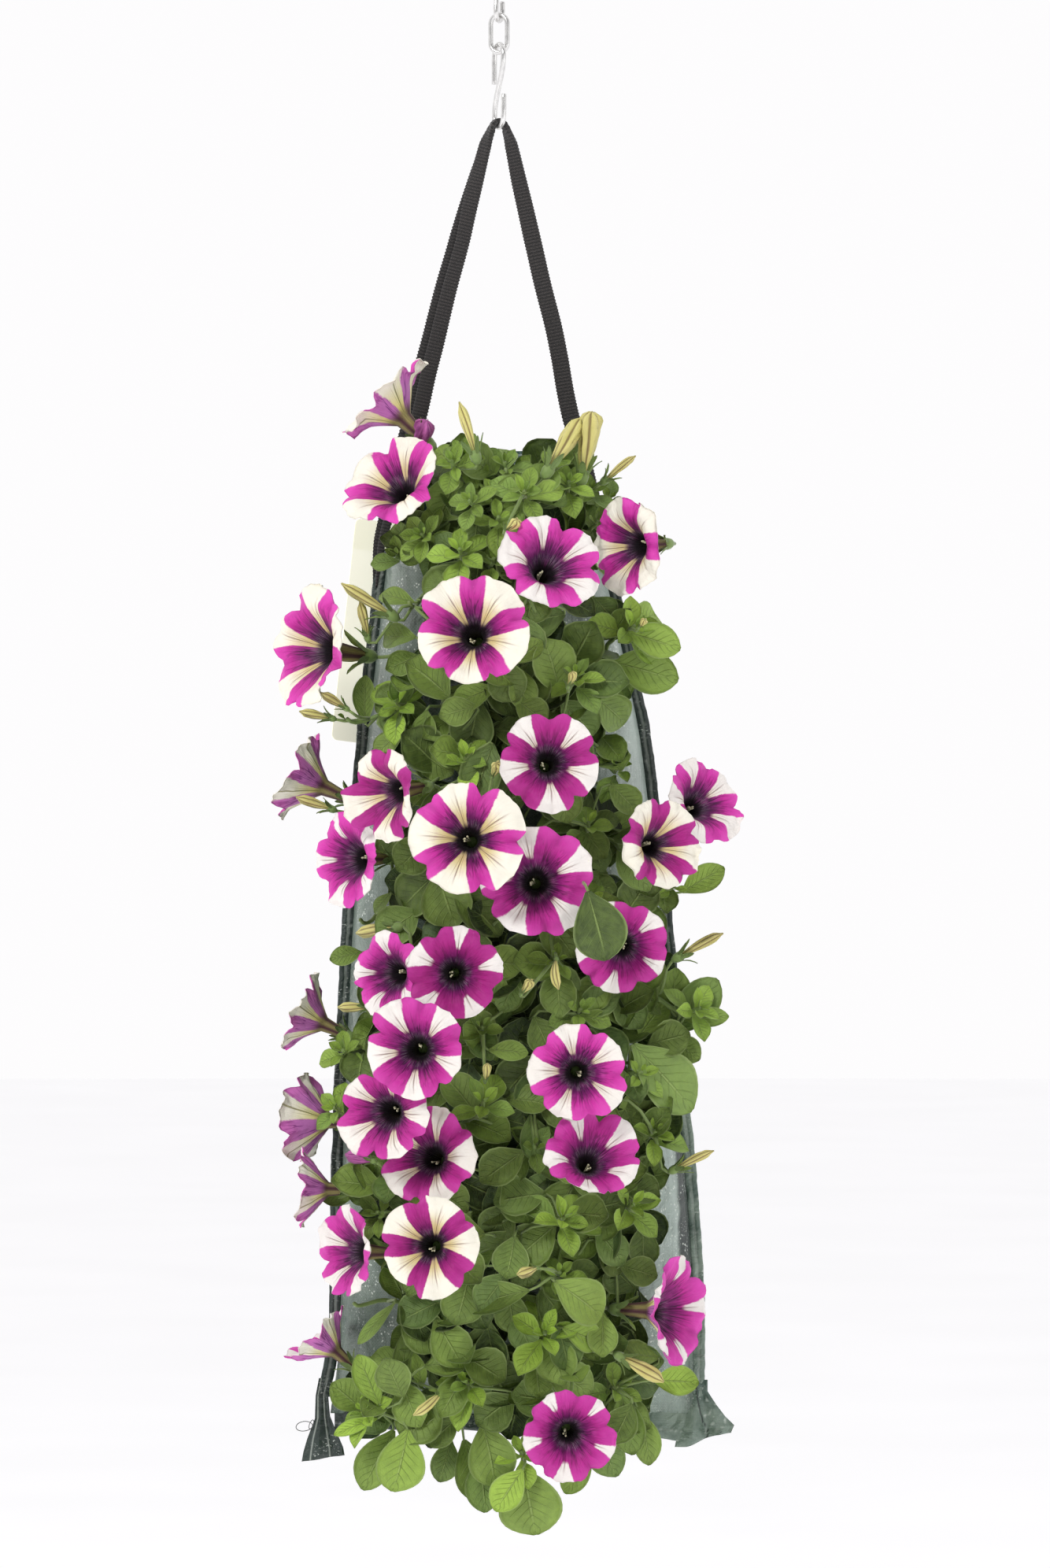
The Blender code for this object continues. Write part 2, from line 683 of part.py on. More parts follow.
class Plant:
    """One petunia: a short stem, branches to its blooms and shoot tips, and leaves on them."""

    def __init__(self, name, room):
        self.name = name
        self.room = room
        self.bm = bmesh.new()
        self.sites = []  # faces that can still be grown from
        self.leaf_sites = []  # face, direction along the branch
        self.leaves = 0

    def plant(self, start, out):
        rings = []
        for distance in (0.0, 0.006, 0.012, 0.018):
            rings.append((start + out * distance, out, Vector((0.3, 0.2, 1.0)), STEM_HALF, STEM_HALF))
        steps, end = start_run(self.bm, rings)
        for step in steps[1:]:
            self.sites += step
        self.sites.append(end)
        for distance in (0.0, 0.006, 0.012, 0.018):
            self.room.add(start + out * distance, 0.0045, self.name)

    def branch(self, target, arrive):
        start_of = {face: out_of(face) for face in self.sites}

        def suits(face):
            centre, normal = start_of[face]
            return normal.dot((target - centre).normalized())

        face = max(self.sites, key=suits)
        self.sites.remove(face)
        centre, normal = start_of[face]
        if arrive is None:
            arrive = ((target - centre).normalized() * 0.8 + Vector((0, -0.6, 0.1))).normalized()
        path = branch_path(centre, normal, target, arrive)
        for at in path[:-1]:
            self.lift(at)
        steps, end = grow(self.bm, face, branch_rings(centre, path, arrive))
        for i, at in enumerate(path):
            self.room.add(at, 0.003, self.name)
            before = path[i - 1] if i else centre
            for share in (0.2, 0.4, 0.6, 0.8):
                self.room.add(before.lerp(at, share), 0.003, self.name)
            heading = (at - before).normalized()
            if i:
                self.leaf_sites += [(side, heading, i) for side in steps[i]]
        return end, arrive

    def lift(self, at):
        """Moves a point of a branch off the front panel, or over its hem."""
        limit = front_y(at.x, min(at.z, FRONT_LOWEST_TOP)) - 0.006
        if at.y > limit and at.z < FRONT_TOP + 0.010:
            if self.name.startswith("petunia_top"):
                at.z = FRONT_TOP + 0.010
            else:
                at.y = limit

    def leaf(self, face, heading, long, half_wide):
        """Grows a leaf out of a face, unless something is in its way."""
        centre, normal = out_of(face)
        direction = normal + heading * 0.35
        direction.y = min(max(direction.y, -0.35), -0.05)
        direction.normalize()
        facing = Vector((0.0, -0.9, 0.42))
        rings = leaf_rings(centre, direction, facing, long, half_wide, long * 0.16)
        places = leaf_places(rings)
        if not self.room.free(places, 0.0030, owner=self.name):
            return False
        if not self.room.free(places[21:], 0.0010) or not clear_of_bag(places):
            return False
        grow(self.bm, face, rings)
        for place in places:
            self.room.add(place, 0.0026, self.name)
        self.leaves += 1
        return True

    def tip(self, end, heading):
        """The young leaf that closes a shoot."""
        self.leaf(end, heading, 0.020, 0.0055)

    def leafage(self):
        """Leaves along the branches, at most two at a place, the big ones nearest the stem."""
        grown = {}
        order = sorted(range(len(self.leaf_sites)), key=lambda i: (i % 4 % 2, self.leaf_sites[i][2], i))
        for i in order:
            face, heading, step = self.leaf_sites[i]
            place = i // 4
            if self.leaves >= MOST_LEAVES:
                break
            if grown.get(place, 0) >= 2:
                continue
            long = LEAF_SIZES[step - 1]
            if self.leaf(face, heading, long, long * LEAF_SLENDER):
                grown[place] = grown.get(place, 0) + 1


def grow_petunias(leaf_green, petal):
    room = Room()
    blooms = {}
    for number, rim, azimuth, elevation, radius in BLOOMS:
        rim = Vector(rim)
        facing = facing_of(azimuth, elevation)
        blooms[number] = (bloom_base(rim, facing, radius), facing)
        add_bloom_room(room, number, rim, facing, radius)
        make_bloom(number, rim, azimuth, elevation, radius, petal)
    plants = []
    for name, (carried, tips) in PLANTS.items():
        plant = Plant(name, room)
        plant.plant(*root_place(name))
        for number in carried:
            base, facing = blooms[number]
            plant.branch(base - facing * 3 * GAP, facing)
        ends = [plant.branch(Vector(tip), None) for tip in tips]
        plants.append((plant, ends))
    for plant, ends in plants:
        for end, heading in ends:
            plant.tip(end, heading)
    for plant, _ in plants:
        plant.leafage()
        add_bmesh(plant.name, plant.bm, leaf_green)


def root_place(name):
    """Where a plant's stem leaves the soil, and its direction there."""
    if name == "petunia_top_left":
        return Vector((-0.026, -0.012, -0.3950)), Vector((-0.10, -0.35, 0.93)).normalized()
    if name == "petunia_top_right":
        return Vector((0.030, -0.012, -0.3950)), Vector((0.10, -0.35, 0.93)).normalized()
    row = int(name[len("petunia_row")]) - 1
    x = SLIT_LEFT_X if name.endswith("left") else SLIT_RIGHT_X
    centre = slit_centre(x, SLIT_ROWS[row])
    return centre + Vector((0, 0.0008, 0)), Vector((0, -1, 0.12)).normalized()


def main():
    clear_scene()
    steel = material("zinc_plated_steel", (0.72, 0.73, 0.74), 0.28, 1.0)
    webbing = material("black_webbing", (0.020, 0.021, 0.022), 0.85)
    woven = material("woven_polyethylene", (0.030, 0.110, 0.075), 0.38)
    soil = material("potting_soil", (0.045, 0.030, 0.020), 0.95)
    card = material("label_plastic", (0.85, 0.84, 0.70), 0.40)
    green = material("petunia_leaf", (0.130, 0.260, 0.060), 0.60)
    petal = material("petunia_petal", (0.480, 0.030, 0.360), 0.50)
    make_hooks(steel)
    run("carrying_strap", strap_rings(), webbing)
    make_panel("bag_front_panel", -1, woven)
    make_panel("bag_back_panel", 1, woven)
    make_hem("left_side_hem", -1, woven)
    make_hem("right_side_hem", 1, woven)
    make_bottom_hem(woven)
    make_soil(soil)
    make_card(card)
    grow_petunias(green, petal)


main()
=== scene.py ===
"""The looks of a hanging planting bag of petunias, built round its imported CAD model.

Metres, +Z up. The bag hangs from the origin and its flowers face -Y. The shape of the bag and the
place, facing and size of every bloom are read from the frame. Leaves, shoots, buds and wrinkles
are drawn here.
"""

import math
import random

import bpy
import numpy as np
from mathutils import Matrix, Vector, noise
from mathutils.bvhtree import BVHTree


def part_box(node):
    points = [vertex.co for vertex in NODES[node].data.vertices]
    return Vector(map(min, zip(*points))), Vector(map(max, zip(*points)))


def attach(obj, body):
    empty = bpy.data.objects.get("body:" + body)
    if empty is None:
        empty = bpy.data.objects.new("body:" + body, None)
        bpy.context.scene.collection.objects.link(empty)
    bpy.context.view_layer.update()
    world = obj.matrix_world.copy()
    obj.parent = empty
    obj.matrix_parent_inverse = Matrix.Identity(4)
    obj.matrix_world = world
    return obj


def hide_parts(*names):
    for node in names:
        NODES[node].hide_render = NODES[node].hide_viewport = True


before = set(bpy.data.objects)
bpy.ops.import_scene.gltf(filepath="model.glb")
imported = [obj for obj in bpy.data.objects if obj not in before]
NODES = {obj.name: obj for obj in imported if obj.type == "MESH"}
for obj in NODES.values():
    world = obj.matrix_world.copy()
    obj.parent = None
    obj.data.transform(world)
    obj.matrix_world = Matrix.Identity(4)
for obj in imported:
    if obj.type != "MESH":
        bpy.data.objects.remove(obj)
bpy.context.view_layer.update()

UP = Vector((0.0, 0.0, 1.0))
FRONT = Vector((0.0, -1.0, 0.0))


# ---- small helpers ----


def smooth(low, high, value):
    """0 below low, 1 above high, and a smooth step between them."""
    t = np.clip((np.asarray(value, float) - low) / (high - low), 0.0, 1.0)
    return t * t * (3 - 2 * t)


def wobble(x, y, z=0.0):
    """Smooth noise from -1 to 1."""
    return noise.noise(Vector((x, y, z)))


def wobbles(x, y, z=0.0):
    """The same noise at each of a row of places."""
    return np.array([wobble(a, b, z) for a, b in zip(x, np.broadcast_to(y, x.shape))])


def bell(distance):
    """1 at no distance, and close to 0 from a distance of 2 on."""
    return math.exp(-(distance**2))


def spoke(first, other, angle):
    """The way out at an angle round an axis, from two ways that are square to it."""
    return first * math.cos(angle) + other * math.sin(angle)


def squared(vector, direction):
    """The part of a vector that is square to a direction, made one long."""
    return (vector - direction * vector.dot(direction)).normalized()


def bezier(p0, p1, p2, p3, t):
    """A point at a share of the way along a Bezier curve."""
    s = 1 - t
    return p0 * s**3 + p1 * 3 * s * s * t + p2 * 3 * s * t * t + p3 * t**3


def srgb(red, green, blue):
    """A colour given as 0 to 255 on the screen, as the shader wants it."""
    return tuple((c / 255 / 12.92) if c < 10 else ((c / 255 + 0.055) / 1.055) ** 2.4
                 for c in (red, green, blue))


class Piece:
    """Vertices and faces gathered for one object, with two vectors of marks on each vertex."""

    def __init__(self, name):
        self.name = name
        self.verts = []
        self.faces = []
        self.kinds = []
        self.marks = []
        self.tones = []
        self.count = 0

    def add(self, verts, faces, marks=None, tone=(0, 0, 0), kind=0):
        """Takes in a mesh. tone is one for all of it or a row of them, and kind is the number of
        its material."""
        verts = np.asarray(verts, float).reshape(-1, 3)
        n = len(verts)
        self.verts.append(verts)
        self.faces += [tuple(i + self.count for i in face) for face in faces]
        self.kinds += [kind] * len(faces)
        self.marks.append(np.zeros((n, 3)) if marks is None else np.asarray(marks, float).reshape(-1, 3))
        self.tones.append(np.tile(np.asarray(tone, float), (n, 1)) if np.ndim(tone) == 1 else tone)
        self.count += n

    def join_skins(self, size, border, flip=False):
        """Faces between the borders of the last two skins, which have as many points each."""
        first = self.count - 2 * size
        for a, b in zip(border, border[1:] + border[:1]):
            if flip:
                a, b = b, a
            self.faces.append((first + a, first + b, first + size + b, first + size + a))
            self.kinds.append(0)

    def finish(self, materials, slot, *nodes):
        """Makes the object, hangs it on the root body, and hides the CAD nodes that it stands for."""
        mesh = bpy.data.meshes.new(self.name)
        mesh.from_pydata(np.concatenate(self.verts).tolist(), [], self.faces)
        for mat in materials:
            mesh.materials.append(mat)
        mesh.polygons.foreach_set("material_index", self.kinds)
        for name, rows in (("mark", self.marks), ("tone", self.tones)):
            layer = mesh.attributes.new(name, "FLOAT_VECTOR", "POINT")
            layer.data.foreach_set("vector", np.concatenate(rows).astype(np.float32).ravel())
        mesh.shade_smooth()
        mesh.update()
        ob = bpy.data.objects.new(self.name, mesh)
        bpy.context.scene.collection.objects.link(ob)
        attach(ob, "root")
        if nodes:
            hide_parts(*nodes)
        return ob


def grid_faces(rows, columns, ring=False, flip=False, loop=False):
    """The quads of a grid of points given row by row. A ring joins the last column to the first,
    and a loop the last row to the first."""
    faces = []
    for i in range(rows if loop else rows - 1):
        here, there = i * columns, (i + 1) % rows * columns
        for j in range(columns if ring else columns - 1):
            k = (j + 1) % columns
            quad = (here + j, here + k, there + k, there + j)
            faces.append(quad[::-1] if flip else quad)
    return faces


def capped_faces(rows, around, flip=False):
    """The faces of a tube given ring by ring, with a cap on each end."""
    faces = grid_faces(rows, around, ring=True)
    faces.append(tuple(range(around))[::-1])
    faces.append(tuple(range((rows - 1) * around, rows * around)))
    return [face[::-1] for face in faces] if flip else faces


def give_thickness(ob, thickness):
    """Makes a sheet of cloth as thick as it is, half to each side."""
    film = ob.modifiers.new("Film", "SOLIDIFY")
    film.thickness = thickness
    film.offset = 0.0


def tube(piece, path, radii, sides, tone=(0, 0, 0), kind=0, shape=None):
    """A closed tube along a path. shape, if given, scales the radius by angle and by place.
    Marks: length from the start, turn 0 to 1, and share of the length."""
    path = [Vector(p) for p in path]
    count = len(path)
    ahead = (path[1] - path[0]).normalized()
    across = ahead.orthogonal().normalized()
    verts, marks = [], []
    length = 0.0
    for i, at in enumerate(path):
        nxt = path[min(i + 1, count - 1)]
        last = path[max(i - 1, 0)]
        along = (nxt - last).normalized()
        across = squared(across, along)
        other = along.cross(across)
        length += (at - last).length
        for j in range(sides):
            angle = 2 * math.pi * j / sides
            r = radii[i] * (shape(angle, i / (count - 1)) if shape else 1.0)
            verts.append(at + spoke(across, other, angle) * r)
            marks.append((length, j / sides, i / (count - 1)))
    piece.add(verts, capped_faces(count, sides), marks, tone, kind)


# ---- shader graphs ----


def operator(operation, swapped=False):
    """A method of Value for one of Python's arithmetic signs."""
    def apply(self, other):
        pair = (other, self) if swapped else (self, other)
        return self.graph.math(operation, *pair)

    return apply


class Value:
    """A shader node's output, which can be reckoned with like a number."""

    def __init__(self, graph, socket):
        self.graph = graph
        self.socket = socket

    __add__ = __radd__ = operator("ADD")
    __sub__ = operator("SUBTRACT")
    __rsub__ = operator("SUBTRACT", swapped=True)
    __mul__ = __rmul__ = operator("MULTIPLY")

    def size(self):
        """The value without its sign."""
        return self.graph.math("ABSOLUTE", self)

    def fraction(self):
        return self.graph.math("FRACT", self)

    def step(self, low, high):
        """0 at low, 1 at high, smooth between. low may be the larger."""
        return self.graph.step(self, low, high)


class Graph:
    """A material with one Principled shader and the nodes that feed it."""

    def __init__(self, name, **sockets):
        self.mat = bpy.data.materials.new(name)
        self.mat.use_nodes = True
        self.tree = self.mat.node_tree
        self.shader = self.tree.nodes["Principled BSDF"]
        for socket, value in sockets.items():
            self.set(socket.replace("_", " "), value)

    def set(self, socket, value):
        self.feed(self.shader.inputs[socket], value)

    def feed(self, socket, value):
        if isinstance(value, Value):
            self.tree.links.new(value.socket, socket)
        elif isinstance(value, (tuple, list)) and socket.type == "RGBA":
            socket.default_value = (*value[:3], 1.0)
        else:
            socket.default_value = value

    def node(self, kind, output=0, inputs=(), **settings):
        made = self.tree.nodes.new(kind)
        for key, value in settings.items():
            setattr(made, key, value)
        for key, value in dict(inputs).items():
            self.feed(made.inputs[key], value)
        return Value(self, made.outputs[output])

    def math(self, operation, a, b=0.0):
        return self.node("ShaderNodeMath", inputs={0: a, 1: b}, operation=operation)

    def vector(self, x=0.0, y=0.0, z=0.0):
        return self.node("ShaderNodeCombineXYZ", inputs={0: x, 1: y, 2: z})

    def parts(self, vector):
        split = self.node("ShaderNodeSeparateXYZ", inputs={0: vector}).socket.node
        return [Value(self, out) for out in split.outputs]

    def attribute(self, name):
        """The three numbers of a mark or a tone."""
        return self.parts(self.node("ShaderNodeAttribute", 1, attribute_name=name))

    def here(self):
        """The point's place on the object, for a noise."""
        return self.vector(*self.parts(self.node("ShaderNodeTexCoord", "Object")))

    def step(self, value, low, high):
        """0 where a value is at low, 1 where it is at high, and smooth between."""
        ends = {0: value, 1: low, 2: high}
        if not isinstance(low, Value) and low > high:
            ends = {0: value, 1: high, 2: low, 3: 1.0, 4: 0.0}
        return self.node("ShaderNodeMapRange", inputs=ends, interpolation_type="SMOOTHSTEP")

    def noise(self, at, scale=1.0, detail=2.0, rough=0.5, twist=0.0):
        inputs = {"Vector": at, "Scale": scale, "Detail": detail, "Roughness": rough}
        inputs["Distortion"] = twist
        return self.node("ShaderNodeTexNoise", inputs=inputs)

    def cells(self, at, scale):
        """Distance to the middle of the nearest of many scattered cells."""
        return self.node("ShaderNodeTexVoronoi", "Distance", {"Vector": at, "Scale": scale})

    def mix(self, share, a, b):
        """Colour a where share is 0, and b where it is 1."""
        made = self.tree.nodes.new("ShaderNodeMix")
        made.data_type = "RGBA"
        made.clamp_factor = True
        self.feed(made.inputs[0], share)
        self.feed(made.inputs[6], a)
        self.feed(made.inputs[7], b)
        return Value(self, made.outputs[2])

    def over(self, tone, *coats):
        """A colour with coats over it, each a share and a colour given as 0 to 255."""
        for share, colour in coats:
            tone = self.mix(share, tone, srgb(*colour))
        return tone

    def ramp(self, value, *stops):
        """A colour along stops of (place, colour)."""
        made = self.tree.nodes.new("ShaderNodeValToRGB")
        row = made.color_ramp.elements
        while len(row) < len(stops):
            row.new(0.5)
        for element, (place, colour) in zip(row, stops):
            element.position = place
            element.color = (*colour, 1.0)
        self.feed(made.inputs[0], value)
        return Value(self, made.outputs[0])

    def bump(self, height, distance, strength=1.0):
        """Relief in the surface: a height of 1 is this far in metres."""
        inputs = {"Height": height, "Distance": distance, "Strength": strength}
        self.set("Normal", self.node("ShaderNodeBump", inputs=inputs))


def grainy_material(name, stops, scale, detail=2, rough=0.5, bump=0.0, **sockets):
    """A material whose colour, and surface if bump is given, follow one noise. stops are places in
    the noise and the colours there as 0 to 255."""
    g = Graph(name, **sockets)
    grain = g.noise(g.here(), scale, detail, rough)
    g.set("Base Color", g.ramp(grain, *((place, srgb(*colour)) for place, colour in stops)))
    if bump:
        g.bump(grain, bump)
    return g.mat


def soil_material():
    """Dark crumbly peat."""
    stops = (0.3, (28, 20, 14)), (0.55, (66, 48, 34)), (0.75, (104, 80, 58))
    return grainy_material("potting_soil", stops, 320, 5, 0.7, 0.0012, Roughness=0.95)


def anther_material():
    """Cream pollen on the stamens."""
    stops = (0.3, (206, 200, 152)), (0.7, (246, 242, 214))
    return grainy_material("anther_cream", stops, 2600, bump=0.0002, Roughness=0.7)


def thread_material():
    """Black sewing thread."""
    stops = (0.3, (40, 42, 42)), (0.7, (96, 98, 98))
    return grainy_material("black_thread", stops, 3000, Roughness=0.6)


def zinc_material():
    """Bright zinc plating with a faint cloudiness in its colour and its gloss."""
    g = Graph("zinc_plated", Metallic=0.80)
    at = g.here()
    clouds = g.noise(at, 240, 3)
    g.set("Base Color", g.ramp(clouds, (0.3, srgb(214, 213, 212)), (0.7, srgb(238, 237, 235))))
    g.set("Roughness", 0.20 + clouds * 0.10)
    g.bump(g.noise(at, 900, 2), 0.00001)
    return g.mat


def webbing_material():
    """Charcoal polypropylene webbing. Marks: along the strap, across it, and depth of the rib, which
    paints shade in the grooves.
    """
    g = Graph("black_webbing", Roughness=0.78, Sheen_Weight=0.25, Sheen_Roughness=0.5)
    along, across, rib = g.attribute("mark")
    # two threads cross in every rib, so little light dashes sit in rows
    threads = g.math("SINE", along * (2 * math.pi / 0.00105)) * g.math("SINE", across * 1000 * 2.6)
    fuzz = g.noise(g.vector(along * 1000, across * 1000, 0.0), 1.2, 3)
    tone = g.ramp(fuzz + threads * 0.20, (0.25, srgb(22, 21, 22)), (0.8, srgb(76, 70, 68)))
    # painted shade: near black in the grooves between the ribs and on the fold's inner layers, whose rib
    # mark is lowered
    groove = rib.step(0.05, 0.70)
    g.set("Base Color", g.mix(groove, srgb(8, 8, 9), tone))
    g.bump(threads * 0.5 + fuzz * 0.5, 0.00030)
    return g.mat


def light_through_cloth(g, tone, across, down, light_through_share):
    """Painted light falling through the cloth's right part, and painted shade in the deep fold beside
    the right seam.
    """
    streak = g.noise(g.vector(across * 420, down * 14, 13.0), 1.0, 3, 0.6)
    # painted light: paler in streaks where light falls through the cloth, less so near the bottom
    light_through = across.step(0.050, 0.092) * across.step(0.124, 0.110)
    light_through = light_through * (streak * 0.8 + 0.35) * light_through_share
    light_through = light_through * (1.0 - down.step(-0.84, -0.91) * 0.6)
    # painted shade in the deep fold beside the right seam
    fold_shadow = across.step(0.112, 0.118) * down.step(-0.62, -0.68) * down.step(-0.90, -0.85)
    return g.over(tone, (light_through, (206, 222, 214)), (fold_shadow * 0.92, (26, 38, 36)))


def greyer_lower_right(g, tone, across, down, body, lower_right_grey):
    """Cloth that is lighter grey-green at its lower right."""
    grey_green = g.mix(body.step(0.35, 0.65), srgb(78, 102, 90), srgb(142, 160, 144))
    spread = across.step(0.030, 0.100) * down.step(-0.64, -0.74) * lower_right_grey
    return g.mix(spread, tone, grey_green)


def cloth_lights(g, across, down, glint_patch, glints):
    """Painted highlights: specks of dust catching the light in patches, and glints where weft and warp
    cross.
    """
    speck = g.noise(g.vector(across, down, 7.0), 620, 2).step(0.60, 0.68)
    glint = g.cells(g.vector(across, down, 17.0), 430).step(0.34, 0.20)
    lively = g.noise(g.vector(across, down, 21.0), 130, 2).step(0.46, 0.60)
    glint = glint * lively * g.noise(g.vector(across, down, 23.0), 24, 2).step(0.42, 0.58) * glints
    return g.math("MAXIMUM", speck * glint_patch * 0.8, glint * 0.85)


def woven_material(name, deep, lit, shine, light_through_share=0.0, glints=0.0, lower_right_grey=0.0):
    """Woven polyethylene tape. Marks: across the cloth and down it in metres, and a mark of
    painted light, which is a painted highlight above 0 and painted shade in a dark fold below 0.
    It can paint light falling through the cloth towards its right edge, glints is how many bright
    crossings it has, and it can make its lower right part lighter grey-green."""
    g = Graph(name, Coat_Roughness=0.22)
    across, down, fold_light_and_shade = g.attribute("mark")
    tape = 2 * math.pi / 0.0021
    warp = g.math("SINE", across * tape)
    weft = g.math("SINE", down * tape)
    over = warp * weft
    body = g.noise(g.vector(across, down, 0.0), 26, 4, 0.6)
    threads = g.noise(g.vector(across * 90, down * 2600, 0.0), 1.0, 2) * 0.5
    threads = threads + g.noise(g.vector(across * 2600, down * 90, 3.0), 1.0, 2) * 0.5
    share = body * 0.75 + threads * 0.45 + over * 0.05 - 0.15
    tone = g.ramp(share, (0.25, deep), (0.75, lit))
    if light_through_share:
        tone = light_through_cloth(g, tone, across, down, light_through_share)
    if lower_right_grey:
        tone = greyer_lower_right(g, tone, across, down, body, lower_right_grey)
    # patches where the painted specks and glints show
    glint_patch = g.noise(g.vector(across, down, 9.0), 55, 3).step(0.48, 0.66)
    # painted highlights where the mark is above 0, and painted shade in the folds where it is below 0
    light = g.math("MAXIMUM", cloth_lights(g, across, down, glint_patch, glints), fold_light_and_shade * 0.6)
    tone = g.over(tone, (light, (214, 222, 212)), (fold_light_and_shade.step(-0.1, -0.9) * 0.85, (18, 28, 26)))
    # weft threads that stand proud glint in little dashes
    dash = g.noise(g.vector(across * 260, down * 900, 11.0), 1.0, 2, 0.6).step(0.60, 0.72)
    g.set("Base Color", g.mix(dash * glint_patch * 0.6, tone, srgb(236, 240, 234)))
    g.set("Roughness", 0.30 + body * 0.22)
    g.set("Coat Weight", shine)
    height = warp.size() * 0.25 + weft.size() * 0.25 + threads * 0.35
    crumple = g.noise(g.vector(across, down, 5.0), 75, 3, 0.6, 0.8)
    fold = (g.noise(g.vector(across * 1.6, down * 0.7, 2.0), 30, 2) - 0.5).size()
    g.bump(height * 0.22 + crumple * 2.2 + fold * 5.0, 0.0016, 0.9)
    return g.mat


def card_material():
    """A bare label card: cream, with a darker top edge and a soft grey-green patch. It glows a little,
    as painted light for the light that shines through it."""
    # painted light: a faint cream glow stands in for light shining through the card
    g = Graph("label_card", Roughness=0.35, Coat_Weight=0.3, Emission_Strength=0.42,
              Emission_Color=srgb(250, 248, 226))
    across, down, _ = g.attribute("mark")
    grain = g.noise(g.vector(across, down, 0.0), 900, 2) * 0.05
    patch = g.noise(g.vector(across, down, 4.0), 18, 2).step(0.45, 0.60) * down.step(0.075, 0.125)
    tone = g.over(srgb(252, 250, 236), (patch * 0.35, (204, 210, 194)),
                  (down.step(0.020, 0.0195) * 0.6, (228, 226, 198)), (grain, (150, 150, 140)))
    g.set("Base Color", tone)
    return g.mat


def leaf_material():
    """Marks: across the blade -1 to 1, along it 0 to 1, and upper side 0 or under side 1.
    Tone: brightness, which is the leaf's own tone and also painted shade where it sits deep among the
    others, yellowness, and a number of its own."""
    g = Graph("petunia_leaf", Sheen_Weight=0.05, Sheen_Roughness=0.35)
    across, along, under = g.attribute("mark")
    bright, yellow, own = g.attribute("tone")
    reach = across.size()
    mottle = g.noise(g.vector(across * 1.2, along * 3.0, own * 17.0), 2.2, 4, 0.6)
    deep = g.mix(yellow, srgb(34, 52, 12), srgb(52, 88, 8))
    light = g.mix(yellow, srgb(166, 196, 92), srgb(192, 234, 72))
    bluish = (own * 7.0).fraction().step(0.60, 1.0)
    midrib = reach.step(0.07, 0.015) * along.step(0.97, 0.55)
    # side veins leave the midrib and bend to the tip
    vein = ((along * 8.0 - reach * 2.3).fraction() - 0.5).size()
    side = vein.step(0.09, 0.01) * reach.step(1.0, 0.25)
    # the pale band along the edge is partly its fine hairs and partly a painted highlight of rim light
    tone = g.over(g.mix(mottle * 0.45 + bright * 1.25 - 0.33, deep, light),
                  (bluish * 0.28, (92, 126, 84)), (side * 0.26, (150, 180, 92)),
                  (midrib * 0.50, (170, 194, 112)), (reach.step(0.88, 1.0) * 0.6, (178, 200, 128)),
                  (under * 0.60, (128, 152, 96)))
    g.set("Base Color", tone)
    g.set("Roughness", 0.42 + mottle * 0.16)
    down = g.noise(g.vector(across * 22.0, along * 34.0, own * 31.0), 1.0, 3, 0.7)
    g.bump(down * 0.5 + mottle * 1.4 - midrib * 1.4 - side * 0.8, 0.00060)
    return g.mat


def stem_material():
    """Stems, stalks and calyx cups. Tone: brightness, brownness."""
    g = Graph("petunia_stem", Roughness=0.55, Sheen_Weight=0.3)
    at = g.here()
    bright, brown, _ = g.attribute("tone")
    streak = g.noise(at, 300, 3)
    tone = g.mix(streak * 0.6 + bright * 0.4, srgb(78, 108, 44), srgb(150, 176, 96))
    g.set("Base Color", g.over(tone, (brown, (112, 84, 60))))
    g.bump(g.noise(at, 1500, 3), 0.00020)
    return g.mat


def bud_material():
    """Folded corollas. Marks: length, turn 0 to 1, along. Tone: unused, brownness, own."""
    g = Graph("petunia_bud", Roughness=0.6, Sheen_Weight=0.2)
    _, turn, along = g.attribute("mark")
    _, brown, own = g.attribute("tone")
    pleat = ((turn * 5.0 + along * 0.5).fraction() - 0.5).size()
    streak = g.noise(g.vector(turn * 14.0, along * 3.0, own * 9.0), 1.0, 3)
    cream = g.mix(streak, srgb(206, 200, 96), srgb(242, 232, 160))
    olive = g.mix(streak, srgb(92, 62, 50), srgb(146, 126, 66))
    tone = g.over(g.mix(pleat.step(0.22, 0.06) * 0.85, cream, olive), (brown * 0.5, (124, 92, 52)),
                  (along.step(0.25, 0.0) * 0.6, (118, 144, 68)))
    g.set("Base Color", tone)
    g.bump(streak + pleat, 0.0006)
    return g.mat


def purple_bud_material():
    """Folded blooms that are still fresh. Marks: length, turn 0 to 1, along."""
    g = Graph("folded_purple", Roughness=0.6, Sheen_Weight=0.2)
    _, turn, along = g.attribute("mark")
    streak = g.noise(g.vector(turn * 22.0, along * 3.0, 0.0), 1.0, 3)
    g.set("Base Color", g.ramp(streak, (0.3, srgb(120, 34, 106)), (0.7, srgb(212, 110, 184))))
    g.bump(streak, 0.0005)
    return g.mat


